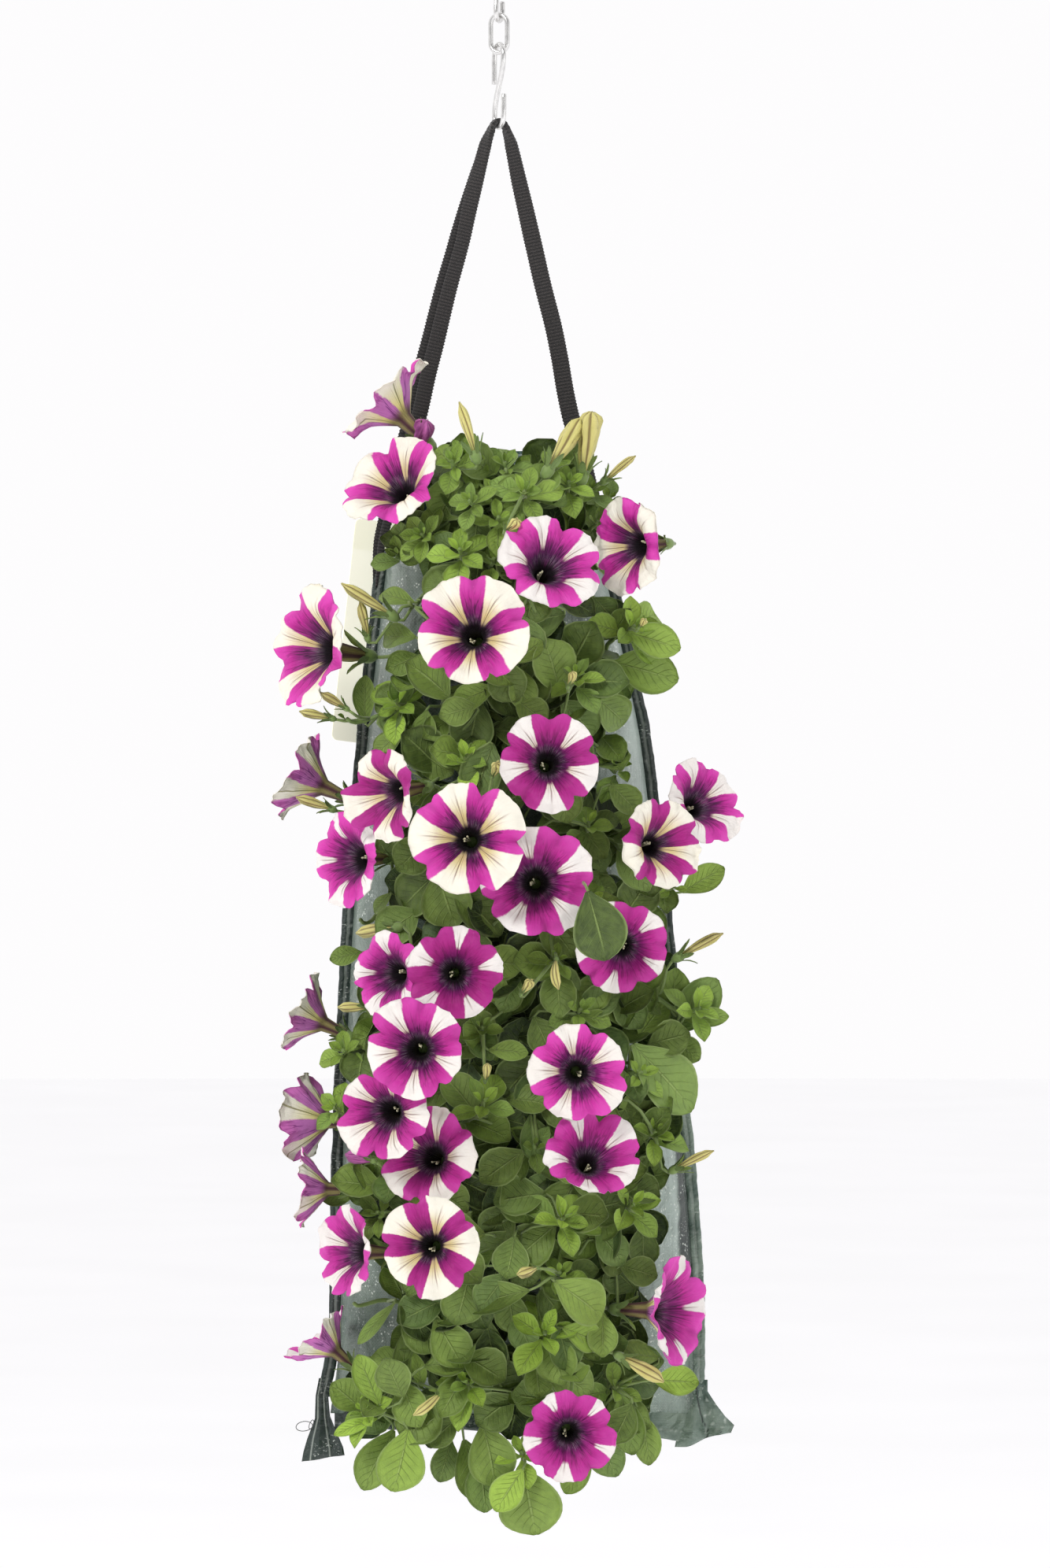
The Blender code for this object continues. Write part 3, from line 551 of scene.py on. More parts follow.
class Stripes:
    """The pattern of a striped petal. Mark: the point's place in the flat bloom in rim radii, and
    0 on the face or 1 on the back. Tone: white share, depth down the tube 0 to 1 or, below 0, how
    dusky the face is, and a number of its own."""

    def __init__(self, g):
        self.g = g
        x, y, self.back = g.attribute("mark")
        self.share, self.depth, own = g.attribute("tone")
        self.reach = g.math("SQRT", x * x + y * y)
        self.turn = g.math("ARCTAN2", y, x) * (5 / (2 * math.pi))
        petal = g.math("FLOOR", self.turn + 0.5)
        self.half = (self.turn - petal).size() * 2.0
        seed = own * 50.0
        self.uneven = g.noise(g.vector(petal * 7.3, seed, 0.0), 1.0, 0) - 0.5
        self.teeth = g.noise(g.vector(self.turn * 7.0, self.reach * 4.0, seed), 1.0, 4, 0.75) - 0.5
        self.rays = g.noise(g.vector(self.turn * 9.0, self.reach * 1.3, seed + 5.0), 1.0, 2, 0.5)
        self.fine = g.noise(g.vector(self.turn * 30.0, self.reach * 2.6, seed + 9.0), 1.0, 2, 0.6)
        self.patchy = g.noise(g.vector(x * 2.0, y * 2.0, seed), 2.4, 3)
        self.threads = (self.rays - 0.5).size().step(0.045, 0.008)
        self.hairs = (self.fine - 0.5).size().step(0.050, 0.010)
        self.midvein = self.half.step(0.035, 0.008) * self.reach.step(0.98, 0.60)
        fork = (self.half - 0.04 - self.reach * 0.17).size().step(0.024, 0.005)
        self.fork = fork * self.reach.step(0.88, 0.50)

    def white(self):
        """Where the white wedges are, along the middle of each petal."""
        inner = self.g.math("MAXIMUM", (self.share - 0.35) * 0.50, 0.0)
        outer = self.share * 0.44 + 0.18
        spread = (self.reach - 0.26) * 1.35
        width = inner + (outer - inner) * spread + self.uneven * 0.34 * spread + self.teeth * 0.16
        start = self.share * -0.62 + 0.76
        begin = self.g.step(self.reach + self.teeth * 0.15, start, start + 0.10)
        return (self.half - width).step(0.030, -0.030) * begin

    def pale(self):
        """The wedges' colour: cream and veined, and whiter on a bloom with less white."""
        g, reach = self.g, self.reach
        cream = g.mix(reach.step(0.28, 0.85), srgb(232, 212, 132), srgb(250, 245, 230))
        veins = (self.midvein * 0.65 + self.fork * 0.45) * (0.5 + self.rays)
        return g.over(g.mix(self.share.step(0.55, 0.85) * 0.8 + 0.2, srgb(246, 240, 238), cream),
                      (reach.step(0.60, 0.30) * 0.55, (228, 206, 150)),
                      (veins, (150, 104, 96)),
                      (self.threads * reach.step(0.95, 0.5) * 0.20, (214, 160, 190)))

    def purple(self):
        """The colour between the wedges: nearly black at the throat and bright at the rim."""
        g, reach = self.g, self.reach
        deep = g.ramp(reach, (0.20, srgb(20, 5, 20)), (0.34, srgb(70, 10, 66)),
                      (0.48, srgb(142, 24, 116)), (0.66, srgb(200, 38, 154)), (1.0, srgb(230, 76, 188)))
        shade = self.rays.step(0.44, 0.60) * reach.step(0.80, 0.34)
        dusky = g.math("MAXIMUM", self.depth * -1.0, 0.0) * reach.step(0.30, 0.60)
        return g.over(deep, (shade * 0.55, (70, 10, 70)),
                      (self.hairs * reach.step(0.25, 0.6) * 0.20, (220, 92, 184)),
                      (self.patchy.step(0.45, 0.75) * 0.35, (214, 74, 176)),
                      (self.threads * reach.step(0.90, 0.40) * 0.85, (44, 4, 46)),
                      (self.half.step(0.80, 1.0) * reach.step(0.5, 0.9) * 0.30, (138, 18, 108)),
                      (dusky * 0.62, (148, 18, 106)))

    def face(self):
        """The wedges on purple, and the dark throat with short pale hairs, olive down in the tube."""
        edge = self.reach + self.rays * 0.20
        bristle = self.hairs * edge.step(0.52, 0.40) * self.reach.step(0.20, 0.30)
        return self.g.over(self.g.mix(self.white(), self.purple(), self.pale()),
                           (edge.step(0.44, 0.29), (18, 6, 16)), (bristle * 0.30, (206, 182, 200)),
                           (self.depth.step(0.10, 0.5) * 0.8, (60, 52, 30)))

    def reverse(self):
        """The back: purple between cream ribs with an olive line, and a brownish tube."""
        g, reach, half = self.g, self.reach, self.half
        # the back's colours are painted lighter than the petal's own, standing in for light shining
        # through the thin petal
        sector = g.mix(self.threads * 0.7 + self.patchy * 0.3, srgb(214, 130, 204), srgb(122, 44, 124))
        sector = g.over(sector, (reach.step(0.55, 1.0) * 0.6, (230, 118, 202)))
        width = 0.24 + reach * (self.share * 0.48 + 0.10)
        rib = (half - width * (0.85 + self.teeth * 0.5)).step(0.05, -0.05)
        ribs = g.mix(reach.step(0.25, 0.90), srgb(240, 228, 142), srgb(255, 251, 236))
        ribs = g.over(ribs, (half.step(0.05, 0.015) * 0.75, (146, 138, 70)),
                      (self.fork * 0.5, (150, 140, 84)))
        stripe = g.math("COSINE", self.turn * 2 * math.pi) * 0.5 + 0.5
        pipe = g.over(g.mix(stripe, srgb(84, 48, 58), srgb(168, 158, 96)),
                      (self.hairs * 0.55, (78, 36, 62)))
        return g.mix(reach.step(0.40, 0.20), g.mix(rib, sector, ribs), pipe)


def petal_material():
    """Soft petals, white-striped purple on the face and ribbed on the back."""
    g = Graph("petunia_petal", Sheen_Weight=0.04, Sheen_Roughness=0.4, Specular_IOR_Level=0.3)
    petal = Stripes(g)
    g.set("Base Color", g.mix(petal.back, petal.face(), petal.reverse()))
    g.set("Roughness", 0.48 + petal.rays * 0.2)
    relief = petal.rays * 0.6 + petal.fine * 0.7 - petal.midvein * 0.8 + petal.patchy * 1.4
    g.bump(relief, 0.00070)
    return g.mat


# ---- the bag's shape, read from the frame ----


def solid_of(node):
    """A CAD node as a solid that rays can be cast at."""
    mesh = NODES[node].data
    faces = [tuple(p.vertices) for p in mesh.polygons]
    return BVHTree.FromPolygons([v.co for v in mesh.vertices], faces)


def hit(tree, x, y, z, direction):
    """Where a ray meets a solid, or None."""
    return tree.ray_cast(Vector((x, y, z)), Vector(direction))[0]


class Bag:
    """The panels' outline and fullness down their height."""

    FULLNESS = 0.6  # exponent of the cross-section
    CLOTH = 0.82  # how much cloth there is to the side for a quarter turn of the section
    SOFT = (0.1, 0.2, 0.4, 0.2, 0.1)  # weights that smooth the measured rows

    def __init__(self):
        low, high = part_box("left_side_hem")
        self.seam = (low.y + high.y) / 2
        front_low, front_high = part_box("bag_front_panel")
        self.front_top = front_high.z
        self.back_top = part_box("bag_back_panel")[1].z
        self.low = front_low.z
        front = solid_of("bag_front_panel")
        back = solid_of("bag_back_panel")
        rows = []
        for z in np.linspace(self.back_top - 0.001, self.low + 0.002, 64):
            left = hit(back, -1, self.seam + 0.0012, z, (1, 0, 0)).x
            right = hit(back, 1, self.seam + 0.0012, z, (-1, 0, 0)).x
            middle = (left + right) / 2
            behind = hit(back, middle, 1, z, (0, -1, 0)).y - self.seam
            ahead = hit(front, middle, -1, z, (0, 1, 0))
            rows.append((z, left, right, self.seam - ahead.y if ahead else np.nan, behind))
        table = np.array(rows)
        known = ~np.isnan(table[:, 3])
        table[:, 3] = np.interp(-table[:, 0], -table[known, 0], table[known, 3])
        for column in range(1, 5):
            values = np.pad(table[:, column], 2, mode="edge")
            table[2:-2, column] = np.convolve(values, self.SOFT, "valid")[2:-2]
        self.table = table

    def at(self, z, column):
        """A measure at a height: 1 and 2 the seams' x, 3 and 4 how far the panels stand out."""
        return float(np.interp(-z, -self.table[:, 0], self.table[:, column]))

    def across(self, u, z):
        """Metres of cloth from the middle of a panel to a place."""
        return math.asin(u) * (self.at(z, 2) - self.at(z, 1)) / 2 * self.CLOTH

    def point(self, side, u, z, out=0.0):
        """A point of the front (side -1) or back (side 1). u runs from -1 at the left seam to 1."""
        left, right = self.at(z, 1), self.at(z, 2)
        bulge = self.at(z, 3 if side < 0 else 4)
        rise = max(1 - u * u, 0.0)
        x = (left + right) / 2 + u * ((right - left) / 2 + out * abs(u) ** 3)
        return Vector((x, self.seam + side * (bulge + out) * rise**self.FULLNESS, z))

    def u_of(self, x, z):
        """-1 at the left seam, 0 in the middle and 1 at the right seam, and beyond them beside it."""
        left, right = self.at(z, 1), self.at(z, 2)
        return (2 * x - left - right) / (right - left)

    def front_y(self, x, z):
        """The front's surface at a place, or the seam plane beside and below the bag."""
        z = min(z, self.front_top - 0.012)
        u = self.u_of(x, z)
        if abs(u) >= 1 or z < self.low:
            return self.seam
        return self.point(-1, u, z).y


BAG = Bag()


FRONT_DIP = 0.018  # how much lower the front panel's top edge is at its middle
FILM = 0.0006  # thickness of the woven cloth
GATHER = 0.0034  # how far the gathers above the bottom hem stand off
SLIT = (0.010, 0.005)  # half width and half height of a planting slit
SLIT_HEIGHTS = (-0.460, -0.559, -0.657, -0.756, -0.850)
SLIT_SIDES = {"left": -0.032, "right": 0.056}
SLITS = {f"petunia_row{row + 1}_{name}": (x, z)
         for row, z in enumerate(SLIT_HEIGHTS) for name, x in SLIT_SIDES.items()}


def creases(side, u, z):
    """How far the woven cloth stands off its smooth shape, and a mark that paints highlights on its
    ridges and on the crests of the gathers.
    """
    across = BAG.across(u, z)
    edge = smooth(0.62, 1.0, abs(u))
    foot = smooth(BAG.low + 0.13, BAG.low + 0.01, z)
    brim = smooth(BAG.front_top - 0.09, BAG.front_top - 0.015, z)
    broad = wobble(across * 13, z * 8, side * 4.0) * 0.0042
    broad += wobble(across * 34, z * 11, side * 2.0) * 0.0016
    cross = wobble(across * 30 + z * 16, z * 34 - across * 12, 3.0 + side)
    ridge = (1 - abs(cross)) ** 4
    pucker = wobble(across * 26, z * 120, 8.0 + side) * 0.0016 * edge
    gathers = wobble(across * 95, z * 9, 12.0 + side) * GATHER * foot
    folds = wobble(across * 40 + z * 20, z * 16, 15.0) * 0.0020 * brim
    off = broad + ridge * 0.0018 + pucker + gathers + folds
    if side < 0 and u > 0:
        # the deep fold beside the right seam
        stretch = smooth(-0.62, -0.68, z) * smooth(-0.90, -0.85, z)
        off -= 0.0045 * bell((u - 0.955) / 0.028) * stretch
    off *= smooth(1.0, 0.93, abs(u))
    # painted highlights on the ridges and on the gathers' crests
    mark = smooth(0.80, 1.0, ridge) * 0.06 + smooth(0.4, 1.0, gathers / GATHER) * foot * 0.4
    return off, mark


def with_slits(off, u, z):
    """How far the cloth stands off with the lips of the planting slits, and whether a place is in
    a slit."""
    x = BAG.point(-1, u, z).x
    inside = False
    for slit_x, slit_z in SLITS.values():
        near = math.hypot((x - slit_x) / SLIT[0], (z - slit_z) / SLIT[1])
        off += 0.0030 * bell((near - 1) * 1.6)
        inside = inside or near < 0.85
    return off, inside


def cloth_panel(name, side, material, node):
    """One panel of the bag: a thin sheet with creases, and on the front its slits."""
    columns, rows = (112, 172) if side < 0 else (80, 130)
    piece = Piece(name)
    verts, marks = [], []
    holes = set()
    for j in range(rows):
        share = j / (rows - 1)
        for i in range(columns):
            u = -math.cos(math.pi * i / (columns - 1))
            top = BAG.front_top - FRONT_DIP * (1 - u * u) if side < 0 else BAG.back_top - 0.002
            z = top + share * (BAG.low + 0.0015 - top)
            off, mark = creases(side, u, z)
            if side < 0:
                off, inside = with_slits(off, u, z)
                if inside:
                    holes.add(len(verts))
            at = BAG.point(side, u, z, off)
            # the foot of the cloth draws in to the seam
            at.y = BAG.seam + (at.y - BAG.seam) * smooth(BAG.low, BAG.low + 0.017, z) ** 0.6
            verts.append(at)
            marks.append((BAG.across(u, z), z, mark))
    faces = [face for face in grid_faces(rows, columns, flip=side < 0) if holes.isdisjoint(face)]
    used = sorted({v for face in faces for v in face})
    index = {v: k for k, v in enumerate(used)}
    piece.add([verts[v] for v in used], [tuple(index[v] for v in f) for f in faces],
              [marks[v] for v in used])
    ob = piece.finish([material], "woven_polyethylene", node)
    give_thickness(ob, FILM)


# ---- hems, ears and brim ----


def hem_section(angle):
    """A flattened band with a lengthwise groove where it is stitched: width and thickness shares."""
    wide = math.cos(angle)
    lobe = 0.55 + 0.45 * math.sin(abs(wide) * math.pi * 0.95)
    return wide, math.sin(angle) * lobe


def side_hem(side, material):
    """The doubled, stitched edge down one side of the bag."""
    name = "left" if side < 0 else "right"
    piece = Piece(f"{name}_hem_band")
    rows, around = 330, 20
    verts, marks = [], []
    high = BAG.front_top - 0.004
    low = BAG.low + 0.012
    for i in range(rows):
        share = i / (rows - 1)
        z = high + (low - high) * share
        edge = BAG.at(z, 1 if side < 0 else 2)
        half = 0.0022 + 0.0019 * smooth(0.0, 0.04, share)
        x = edge + side * (half - 0.0006)
        x += side * wobble(z * 60, side * 7.0) * 0.0007 + side * wobble(z * 240, side * 3.0) * 0.0003
        y = BAG.seam + wobble(z * 22, 5.0, side) * 0.0010
        if side < 0:
            x -= 0.0030 * smooth(BAG.low + 0.055, BAG.low + 0.010, z)
        for j in range(around):
            wide, thick = hem_section(2 * math.pi * j / around)
            pucker = wobble(z * 420, wide * 1.5, side * 9.0)
            deep = 0.0013 + 0.0003 * pucker
            lean = 0.0006 * wobble(z * 90, wide, 2.0 + side)
            verts.append((x + wide * half, y + thick * deep + lean, z))
            # the mark paints highlights on the puckers' crests and a glossy line along the stitching
            shine = smooth(0.35, 0.8, pucker) * 0.7
            stitch_glint = bell((wide * half * 1000 - 0.15 * pucker) / 0.28) * 0.5
            marks.append((wide * half * 0.7 + side, z, max(shine, stitch_glint)))
    piece.add(verts, capped_faces(rows, around, flip=True), marks)
    return piece.finish([material], "woven_polyethylene", f"{name}_side_hem")


def flap(piece, rows, columns, place, thick=0.0009):
    """A doubled flap of cloth. place(s, t) gives its middle surface and its mark of painted highlight
    and shade.
    """
    for face in (1, -1):
        verts, marks = [], []
        for i in range(rows):
            for j in range(columns):
                s, t = i / (rows - 1), j / (columns - 1)
                at, mark = place(s, t)
                rim = min(s, 1 - s, t, 1 - t)
                swell = thick * smooth(0.0, 0.08, rim)
                verts.append((at[0], at[1] - face * swell / 2, at[2]))
                marks.append((at[0], at[2], mark))
        piece.add(verts, grid_faces(rows, columns, flip=face > 0), marks)


def row_at(table, share):
    """A row of a table of numbers at a share of its length, in between the rows that it has."""
    step = share * (len(table) - 1)
    low = min(int(step), len(table) - 2)
    part = step - low
    a, b = np.array(table[low]), np.array(table[low + 1])
    return a + (b - a) * part


# left edge x, right edge x and z down the left ear, then down the right one
LEFT_EAR = (
    (-0.1150, -0.1062, -0.9110), (-0.1171, -0.1091, -0.9217), (-0.1176, -0.1078, -0.9357),
    (-0.1226, -0.1028, -0.9483), (-0.1250, -0.0995, -0.9560), (-0.1261, -0.0985, -0.9615),
)
RIGHT_EAR = (
    (0.1225, 0.1330, -0.9120), (0.1215, 0.1330, -0.9200), (0.1190, 0.1385, -0.9290),
    (0.1160, 0.1445, -0.9375), (0.1135, 0.1500, -0.9435), (0.1120, 0.1480, -0.9490),
)


def ear_point(side, s, t):
    """A place in one of the bag's loose bottom corners, s down it and t across it, and its mark, which
    paints highlights on crinkles and stitch lines and, on the right ear, painted shade along its fold
    line and in its crumples.
    """
    left, right, z = row_at(LEFT_EAR if side < 0 else RIGHT_EAR, s)
    x = left + (right - left) * t
    wave = wobble(x * 110, z * 60, 4.0 * side) * 0.0035 * s
    fold = math.sin(t * math.pi * (3 if side < 0 else 4) + s * 1.7) * 0.0018 * s
    crinkle = wobble(x * 300, z * 210, 6.0 * side) * 0.0011 * s
    if side < 0:
        drop = -0.0030 * s * (1 - t) + 0.0014 * s * t
        lines = (0.20, 0.66)
    else:
        drop = -0.0060 * s * smooth(0.75, 0.15, t) + 0.0030 * s * t * t
        lines = (0.36 + 0.22 * s,)
    line = max(bell(((t - at) * (right - left)) / 0.0004) for at in lines)
    sharp = smooth(0.2, 0.8, abs(crinkle) / 0.0011 - 0.1) * 0.6 * (1 if side > 0 else 0.35)
    light = max(line * 0.9, sharp)
    if side > 0:
        # on the right ear: painted highlights on the crumples' crests, and painted shade along the fold
        # line and in the crumples' troughs
        crumple = wobble(x * 420, z * 330, 8.0)
        light = max(sharp, smooth(0.25, 0.65, crumple) * smooth(0.35, 0.60, t))
        light -= 1.3 * max(line, smooth(-0.62, -0.85, crumple))
    groove = -0.0006 * line
    return (x, BAG.seam - 0.0006 + wave + fold + crinkle + groove, z + drop), light


HEM_LEFT, HEM_RIGHT, HEM_TOP = -0.1050, 0.1230, -0.9270  # ends and upper edge of the bottom hem
HEM_LOW = -0.9440
HEM_THICK = 0.0022


def bottom_hem_point(s, t):
    """A place in the band across the bottom, s down it and t across it, and its mark: painted highlights
    on the stitches and the gathers' crests, and painted shade in the gathers' troughs.
    """
    x = HEM_LEFT + (HEM_RIGHT - HEM_LEFT) * t
    rim = HEM_LOW - 0.0035 * smooth(0.35, 0.55, t) - 0.0040 * smooth(0.80, 1.0, t)
    rim += wobble(x * 45, 3.0) * 0.0012
    z = HEM_TOP + (rim - HEM_TOP) * s
    gather = wobble(x * 150, z * 30, 2.0) * 0.0016 + wobble(x * 420, z * 160, 5.0) * 0.0006
    line = bell((s - 0.72) * 0.018 / 0.0005)
    stitch = line * (0.5 + 0.5 * math.sin(x * 2 * math.pi / 0.0032))
    # painted highlights on the stitches and the gathers' crests, and painted shade in their troughs
    light = max(stitch * 0.9, smooth(0.5, 0.9, gather / 0.0016) * 0.5)
    light -= 1.2 * smooth(-0.60, -0.90, gather / 0.0016)
    return (x, BAG.seam + gather - 0.0005 * line, z), light


def thread_loop(lean, size, steps=21):
    """Points round a loop of loose thread beside the left ear."""
    points = []
    for i in range(steps + 1):
        turn = 2 * math.pi * i / steps
        away = size * (1 - math.cos(turn))
        x = -0.1195 - away * math.cos(lean) + size * 0.45 * math.sin(turn)
        z = -0.9425 + away * math.sin(lean) * 0.6 + size * 0.6 * math.sin(turn)
        points.append((x, BAG.seam - 0.002 - 0.0008 * math.sin(turn * 2), z))
    return points


def bottom_hem(material, thread):
    """The stitched band across the bottom with its loose corners, and its thread ends."""
    piece = Piece("bottom_hem_band")
    for side in (-1, 1):
        flap(piece, 46, 36, lambda s, t, side=side: ear_point(side, s, t))
    flap(piece, 20, 200, bottom_hem_point, thick=HEM_THICK)
    for lean, size in ((0.3, 0.0050), (1.5, 0.0034)):
        points = thread_loop(lean, size)
        tube(piece, points, [0.00025] * len(points), sides=6, kind=1)
    return piece.finish([material, thread], "woven_polyethylene", "bottom_hem")


def brim(material):
    """The turned hem along the front panel's top edge, with its row of stitches."""
    piece = Piece("front_brim_hem")
    columns, rows = 190, 12
    verts, marks = [], []
    for j in range(rows):
        share = j / (rows - 1)
        for i in range(columns):
            u = -math.cos(math.pi * (0.012 + 0.976 * i / (columns - 1)))
            top = BAG.front_top - FRONT_DIP * (1 - u * u) + 0.0008
            z = top - 0.0110 * share
            across = BAG.across(u, z)
            off, mark = creases(-1, u, z)
            swell = math.sin(math.pi * share) ** 0.5 * 0.0009 + 0.0004
            stitch = bell((share - 0.80) * 11 / 0.7)
            dash = stitch * (0.5 + 0.5 * math.sin(across * 2 * math.pi / 0.0035))
            verts.append(BAG.point(-1, u, z, off + swell - stitch * 0.0005))
            # the stitches are painted as light dashes, painted highlights over the cloth's painted ridge
            # highlights
            marks.append((across, z, max(mark, dash * 0.9)))
    piece.add(verts, grid_faces(rows, columns, flip=True), marks)
    ob = piece.finish([material], "woven_polyethylene")
    give_thickness(ob, 0.0005)
    return ob


# ---- strap and hooks ----

HOOK_WIRE = 0.0034
LINK_WIRE = 0.0032
STRAP_HOOK_LOW = -0.1148
# of each S-hook: its top and its bottom, its curls' radius, and how long its two open ends are
TOP_HOOK = (HOOK_WIRE / 2, -0.0471, 0.0052, 0.008, 0.007)
STRAP_HOOK = (-0.0622, STRAP_HOOK_LOW, 0.0070, 0.0175, 0.0133)
LINK = (-0.0435, -0.0672, 0.0145)  # the link's top, bottom and width
TOP_HOOK_TURN, LINK_TURN, STRAP_HOOK_TURN = (math.radians(turn) for turn in (68, -22, -66))
# x, z and half width down each run of the strap, as in the CAD
LEFT_RUN = (
    (-0.0048, -0.1165, 0.0030), (-0.0085, -0.1260, 0.0040), (-0.0240, -0.1840, 0.0060),
    (-0.0440, -0.2590, 0.0068), (-0.0525, -0.2965, 0.0066), (-0.0590, -0.3165, 0.0054),
    (-0.0750, -0.3760, 0.0036), (-0.0786, -0.4060, 0.0010),
)
RIGHT_RUN = (
    (0.0048, -0.1165, 0.0030), (0.0080, -0.1260, 0.0040), (0.0215, -0.1840, 0.0048),
    (0.0390, -0.2590, 0.0048), (0.0460, -0.2965, 0.0049), (0.0517, -0.3165, 0.0048),
    (0.0670, -0.3760, 0.0040), (0.0742, -0.4060, 0.0010),
)
# over the hook: how far aside and below the saddle, lean of the facing, and half width
OVER_HOOK = (
    (-0.0036, 0.0020, -1, 0.0029), (-0.0019, 0.0004, 0, 0.0028), (0.0, 0.0, 0, 0.0028),
    (0.0019, 0.0004, 0, 0.0028), (0.0036, 0.0020, 1, 0.0029),
)
RIB = 0.0021  # pitch of the webbing's cross ribs
# the folded webbing's section: place across from -1 to 1, and layer from -1, back, to 1, front
FOLDED = (
    (-1.00, 0.55, 1), (-0.97, 0.95, 1), (-0.75, 1.0, 1), (-0.50, 1.0, 1), (-0.25, 1.0, 1), (0.0, 1.0, 1),
    (0.25, 1.0, 1), (0.50, 1.0, 1), (0.74, 1.0, 1), (0.90, 0.86, 1), (0.985, 0.50, 1), (1.0, 0.0, 1),
    (0.985, -0.50, 1), (0.90, -0.86, 1), (0.74, -1.0, 1), (0.40, -1.0, 1), (0.0, -1.0, 1),
    (-0.40, -1.0, 1), (-0.75, -1.0, 1), (-1.03, -1.0, 1), (-1.07, -0.60, 1), (-1.03, -0.22, 0),
    (-0.60, -0.20, 0), (0.10, -0.18, 0), (0.70, -0.14, 0), (0.78, 0.0, 0), (0.70, 0.14, 0),
    (0.10, 0.18, 0), (-0.60, 0.20, 0), (-0.96, 0.22, 0),
)


def strap_line():
    """Centres, facings and half widths from the end of the left run over the hook to the right."""
    angle = STRAP_HOOK_TURN + math.pi / 2
    normal = Vector((math.cos(angle), math.sin(angle), 0.0))
    saddle = STRAP_HOOK_LOW + HOOK_WIRE / 2 + 0.0021

    def run(places, first, last):
        found = []
        for i, (x, z, half) in enumerate(places):
            depth = float(np.interp(-z, (0.1165, 0.3165), (0.0, BAG.seam)))
            found.append((Vector((x, depth, z)), first.lerp(last, min(i / 2, 1.0)), half))
        return found

    rows = run(LEFT_RUN, -normal, FRONT)[::-1]
    for aside, down, lean, half in OVER_HOOK:
        rows.append((normal * aside + UP * (saddle - down), UP + normal * lean, half))
    return rows + run(RIGHT_RUN, normal, -FRONT)


def resampled(points, step):
    """A smooth curve through points, as places and their row numbers, about a step apart."""
    places, shares = [], []
    last = len(points) - 1
    for i in range(last):
        p0, p1, p2, p3 = (points[max(min(k, last), 0)] for k in (i - 1, i, i + 1, i + 2))
        count = max(int((p2 - p1).length / step), 1)
        for k in range(count + (1 if i == last - 1 else 0)):
            t = k / count
            scale = (p2 - p1).length
            a = (p2 - p0).normalized() * scale
            b = (p3 - p1).normalized() * scale
            h1 = 2 * t**3 - 3 * t**2 + 1
            h2 = t**3 - 2 * t**2 + t
            h3 = -2 * t**3 + 3 * t**2
            h4 = t**3 - t**2
            places.append(p1 * h1 + a * h2 + p2 * h3 + b * h4)
            shares.append(i + t)
    return places, shares


def webbing_point(w, d, outer, half, rib, near_hook, step):
    """How far a point of the folded section is aside and out of the strap's middle. step is how
    much narrower the front layer is, so that the layer behind it shows beside it."""
    ribbed = (0.00060 * rib - 0.00030) * outer
    edge = 1 + 0.110 * (rib - 0.5) * abs(w)
    slack = (abs(w) if w < 0 else 0.0) * (1 if d < 0 else 0) * (0.0016 * (1 - near_hook))
    drawn_in = 1 - 0.50 * step if d > 0 and w < 0 else 1.0
    bow = 0.0006 * (1 - w * w) * (1 if d > 0 else -0.4) * (1 - near_hook)
    layer = 0.00115 + 0.00045 * near_hook
    depth = d * layer + (math.copysign(ribbed, d) if d else 0.0) + bow
    return w * drawn_in * half * edge - slack * 0.6, depth


def carrying_strap(material):
    """The ribbed webbing, folded lengthwise, from seam to seam over the lower hook."""
    piece = Piece("carrying_strap_webbing")
    rows = strap_line()
    places, shares = resampled([row[0] for row in rows], 0.00070)
    verts, marks = [], []
    length = 0.0
    count = len(places)
    for i, (at, share) in enumerate(zip(places, shares)):
        k = min(int(share), len(rows) - 2)
        part = share - k
        facing = rows[k][1].lerp(rows[k + 1][1], part)
        half = rows[k][2] * (1 - part) + rows[k + 1][2] * part
        before, after = places[max(i - 2, 0)], places[min(i + 2, count - 1)]
        along = (after - before).normalized()
        across = along.cross(facing).normalized()
        out = across.cross(along).normalized()
        length += (at - places[i - 1]).length if i else 0.0
        rib = 0.5 - 0.5 * math.cos(2 * math.pi * length / RIB)
        near_hook = smooth(-0.150, -0.120, at.z)
        sway = wobble(length * 28, 2.0) * 0.0007
        step = smooth(-0.150, -0.190, at.z) if at.x < 0 else 0.0
        for w, d, outer in FOLDED:
            aside, depth = webbing_point(w, d, outer, half, rib, near_hook, step)
            verts.append(at + across * (aside + sway) + out * depth)
            # the inner layers' rib mark is lowered so that they are painted darker, as shade inside the
            # fold
            marks.append((length, w * half + (0.05 if d < 0 else 0.0), rib if outer else rib * 0.7))
    piece.add(verts, capped_faces(count, len(FOLDED), flip=True), marks)
    return piece.finish([material], "black_webbing", "carrying_strap")


def arc(radius, centre, start, sweep, steps):
    """Points round part of a circle in an upright plane: across and up."""
    angles = [start + sweep * i / steps for i in range(steps + 1)]
    return [(radius * math.cos(angle), centre + radius * math.sin(angle)) for angle in angles]


def s_hook_points(high, low, radius, tail, rise):
    """Upper curl open to the left, shank falling from right to left, lower curl open to the right."""
    upper = high - radius
    lower = low + radius
    points = [(-radius * 1.06, upper - tail * k / 6) for k in range(6, 0, -1)]
    points += arc(radius, upper, math.pi, -math.pi, 32)
    for i in range(1, 24):
        share = i / 24
        points.append((radius * math.cos(math.pi * share), upper + (lower - upper) * share))
    points += arc(radius, lower, math.pi, math.pi, 32)
    return points + [(radius * 1.06, lower + rise * k / 6) for k in range(1, 7)]


def link_points(high, low, width):
    """The middle of a link's wire: half a turn at each end, with straight sides between them."""
    radius = (width - LINK_WIRE) / 2
    return arc(radius, high - radius, 0.0, math.pi, 24) + arc(radius, low + radius, math.pi, math.pi, 24)


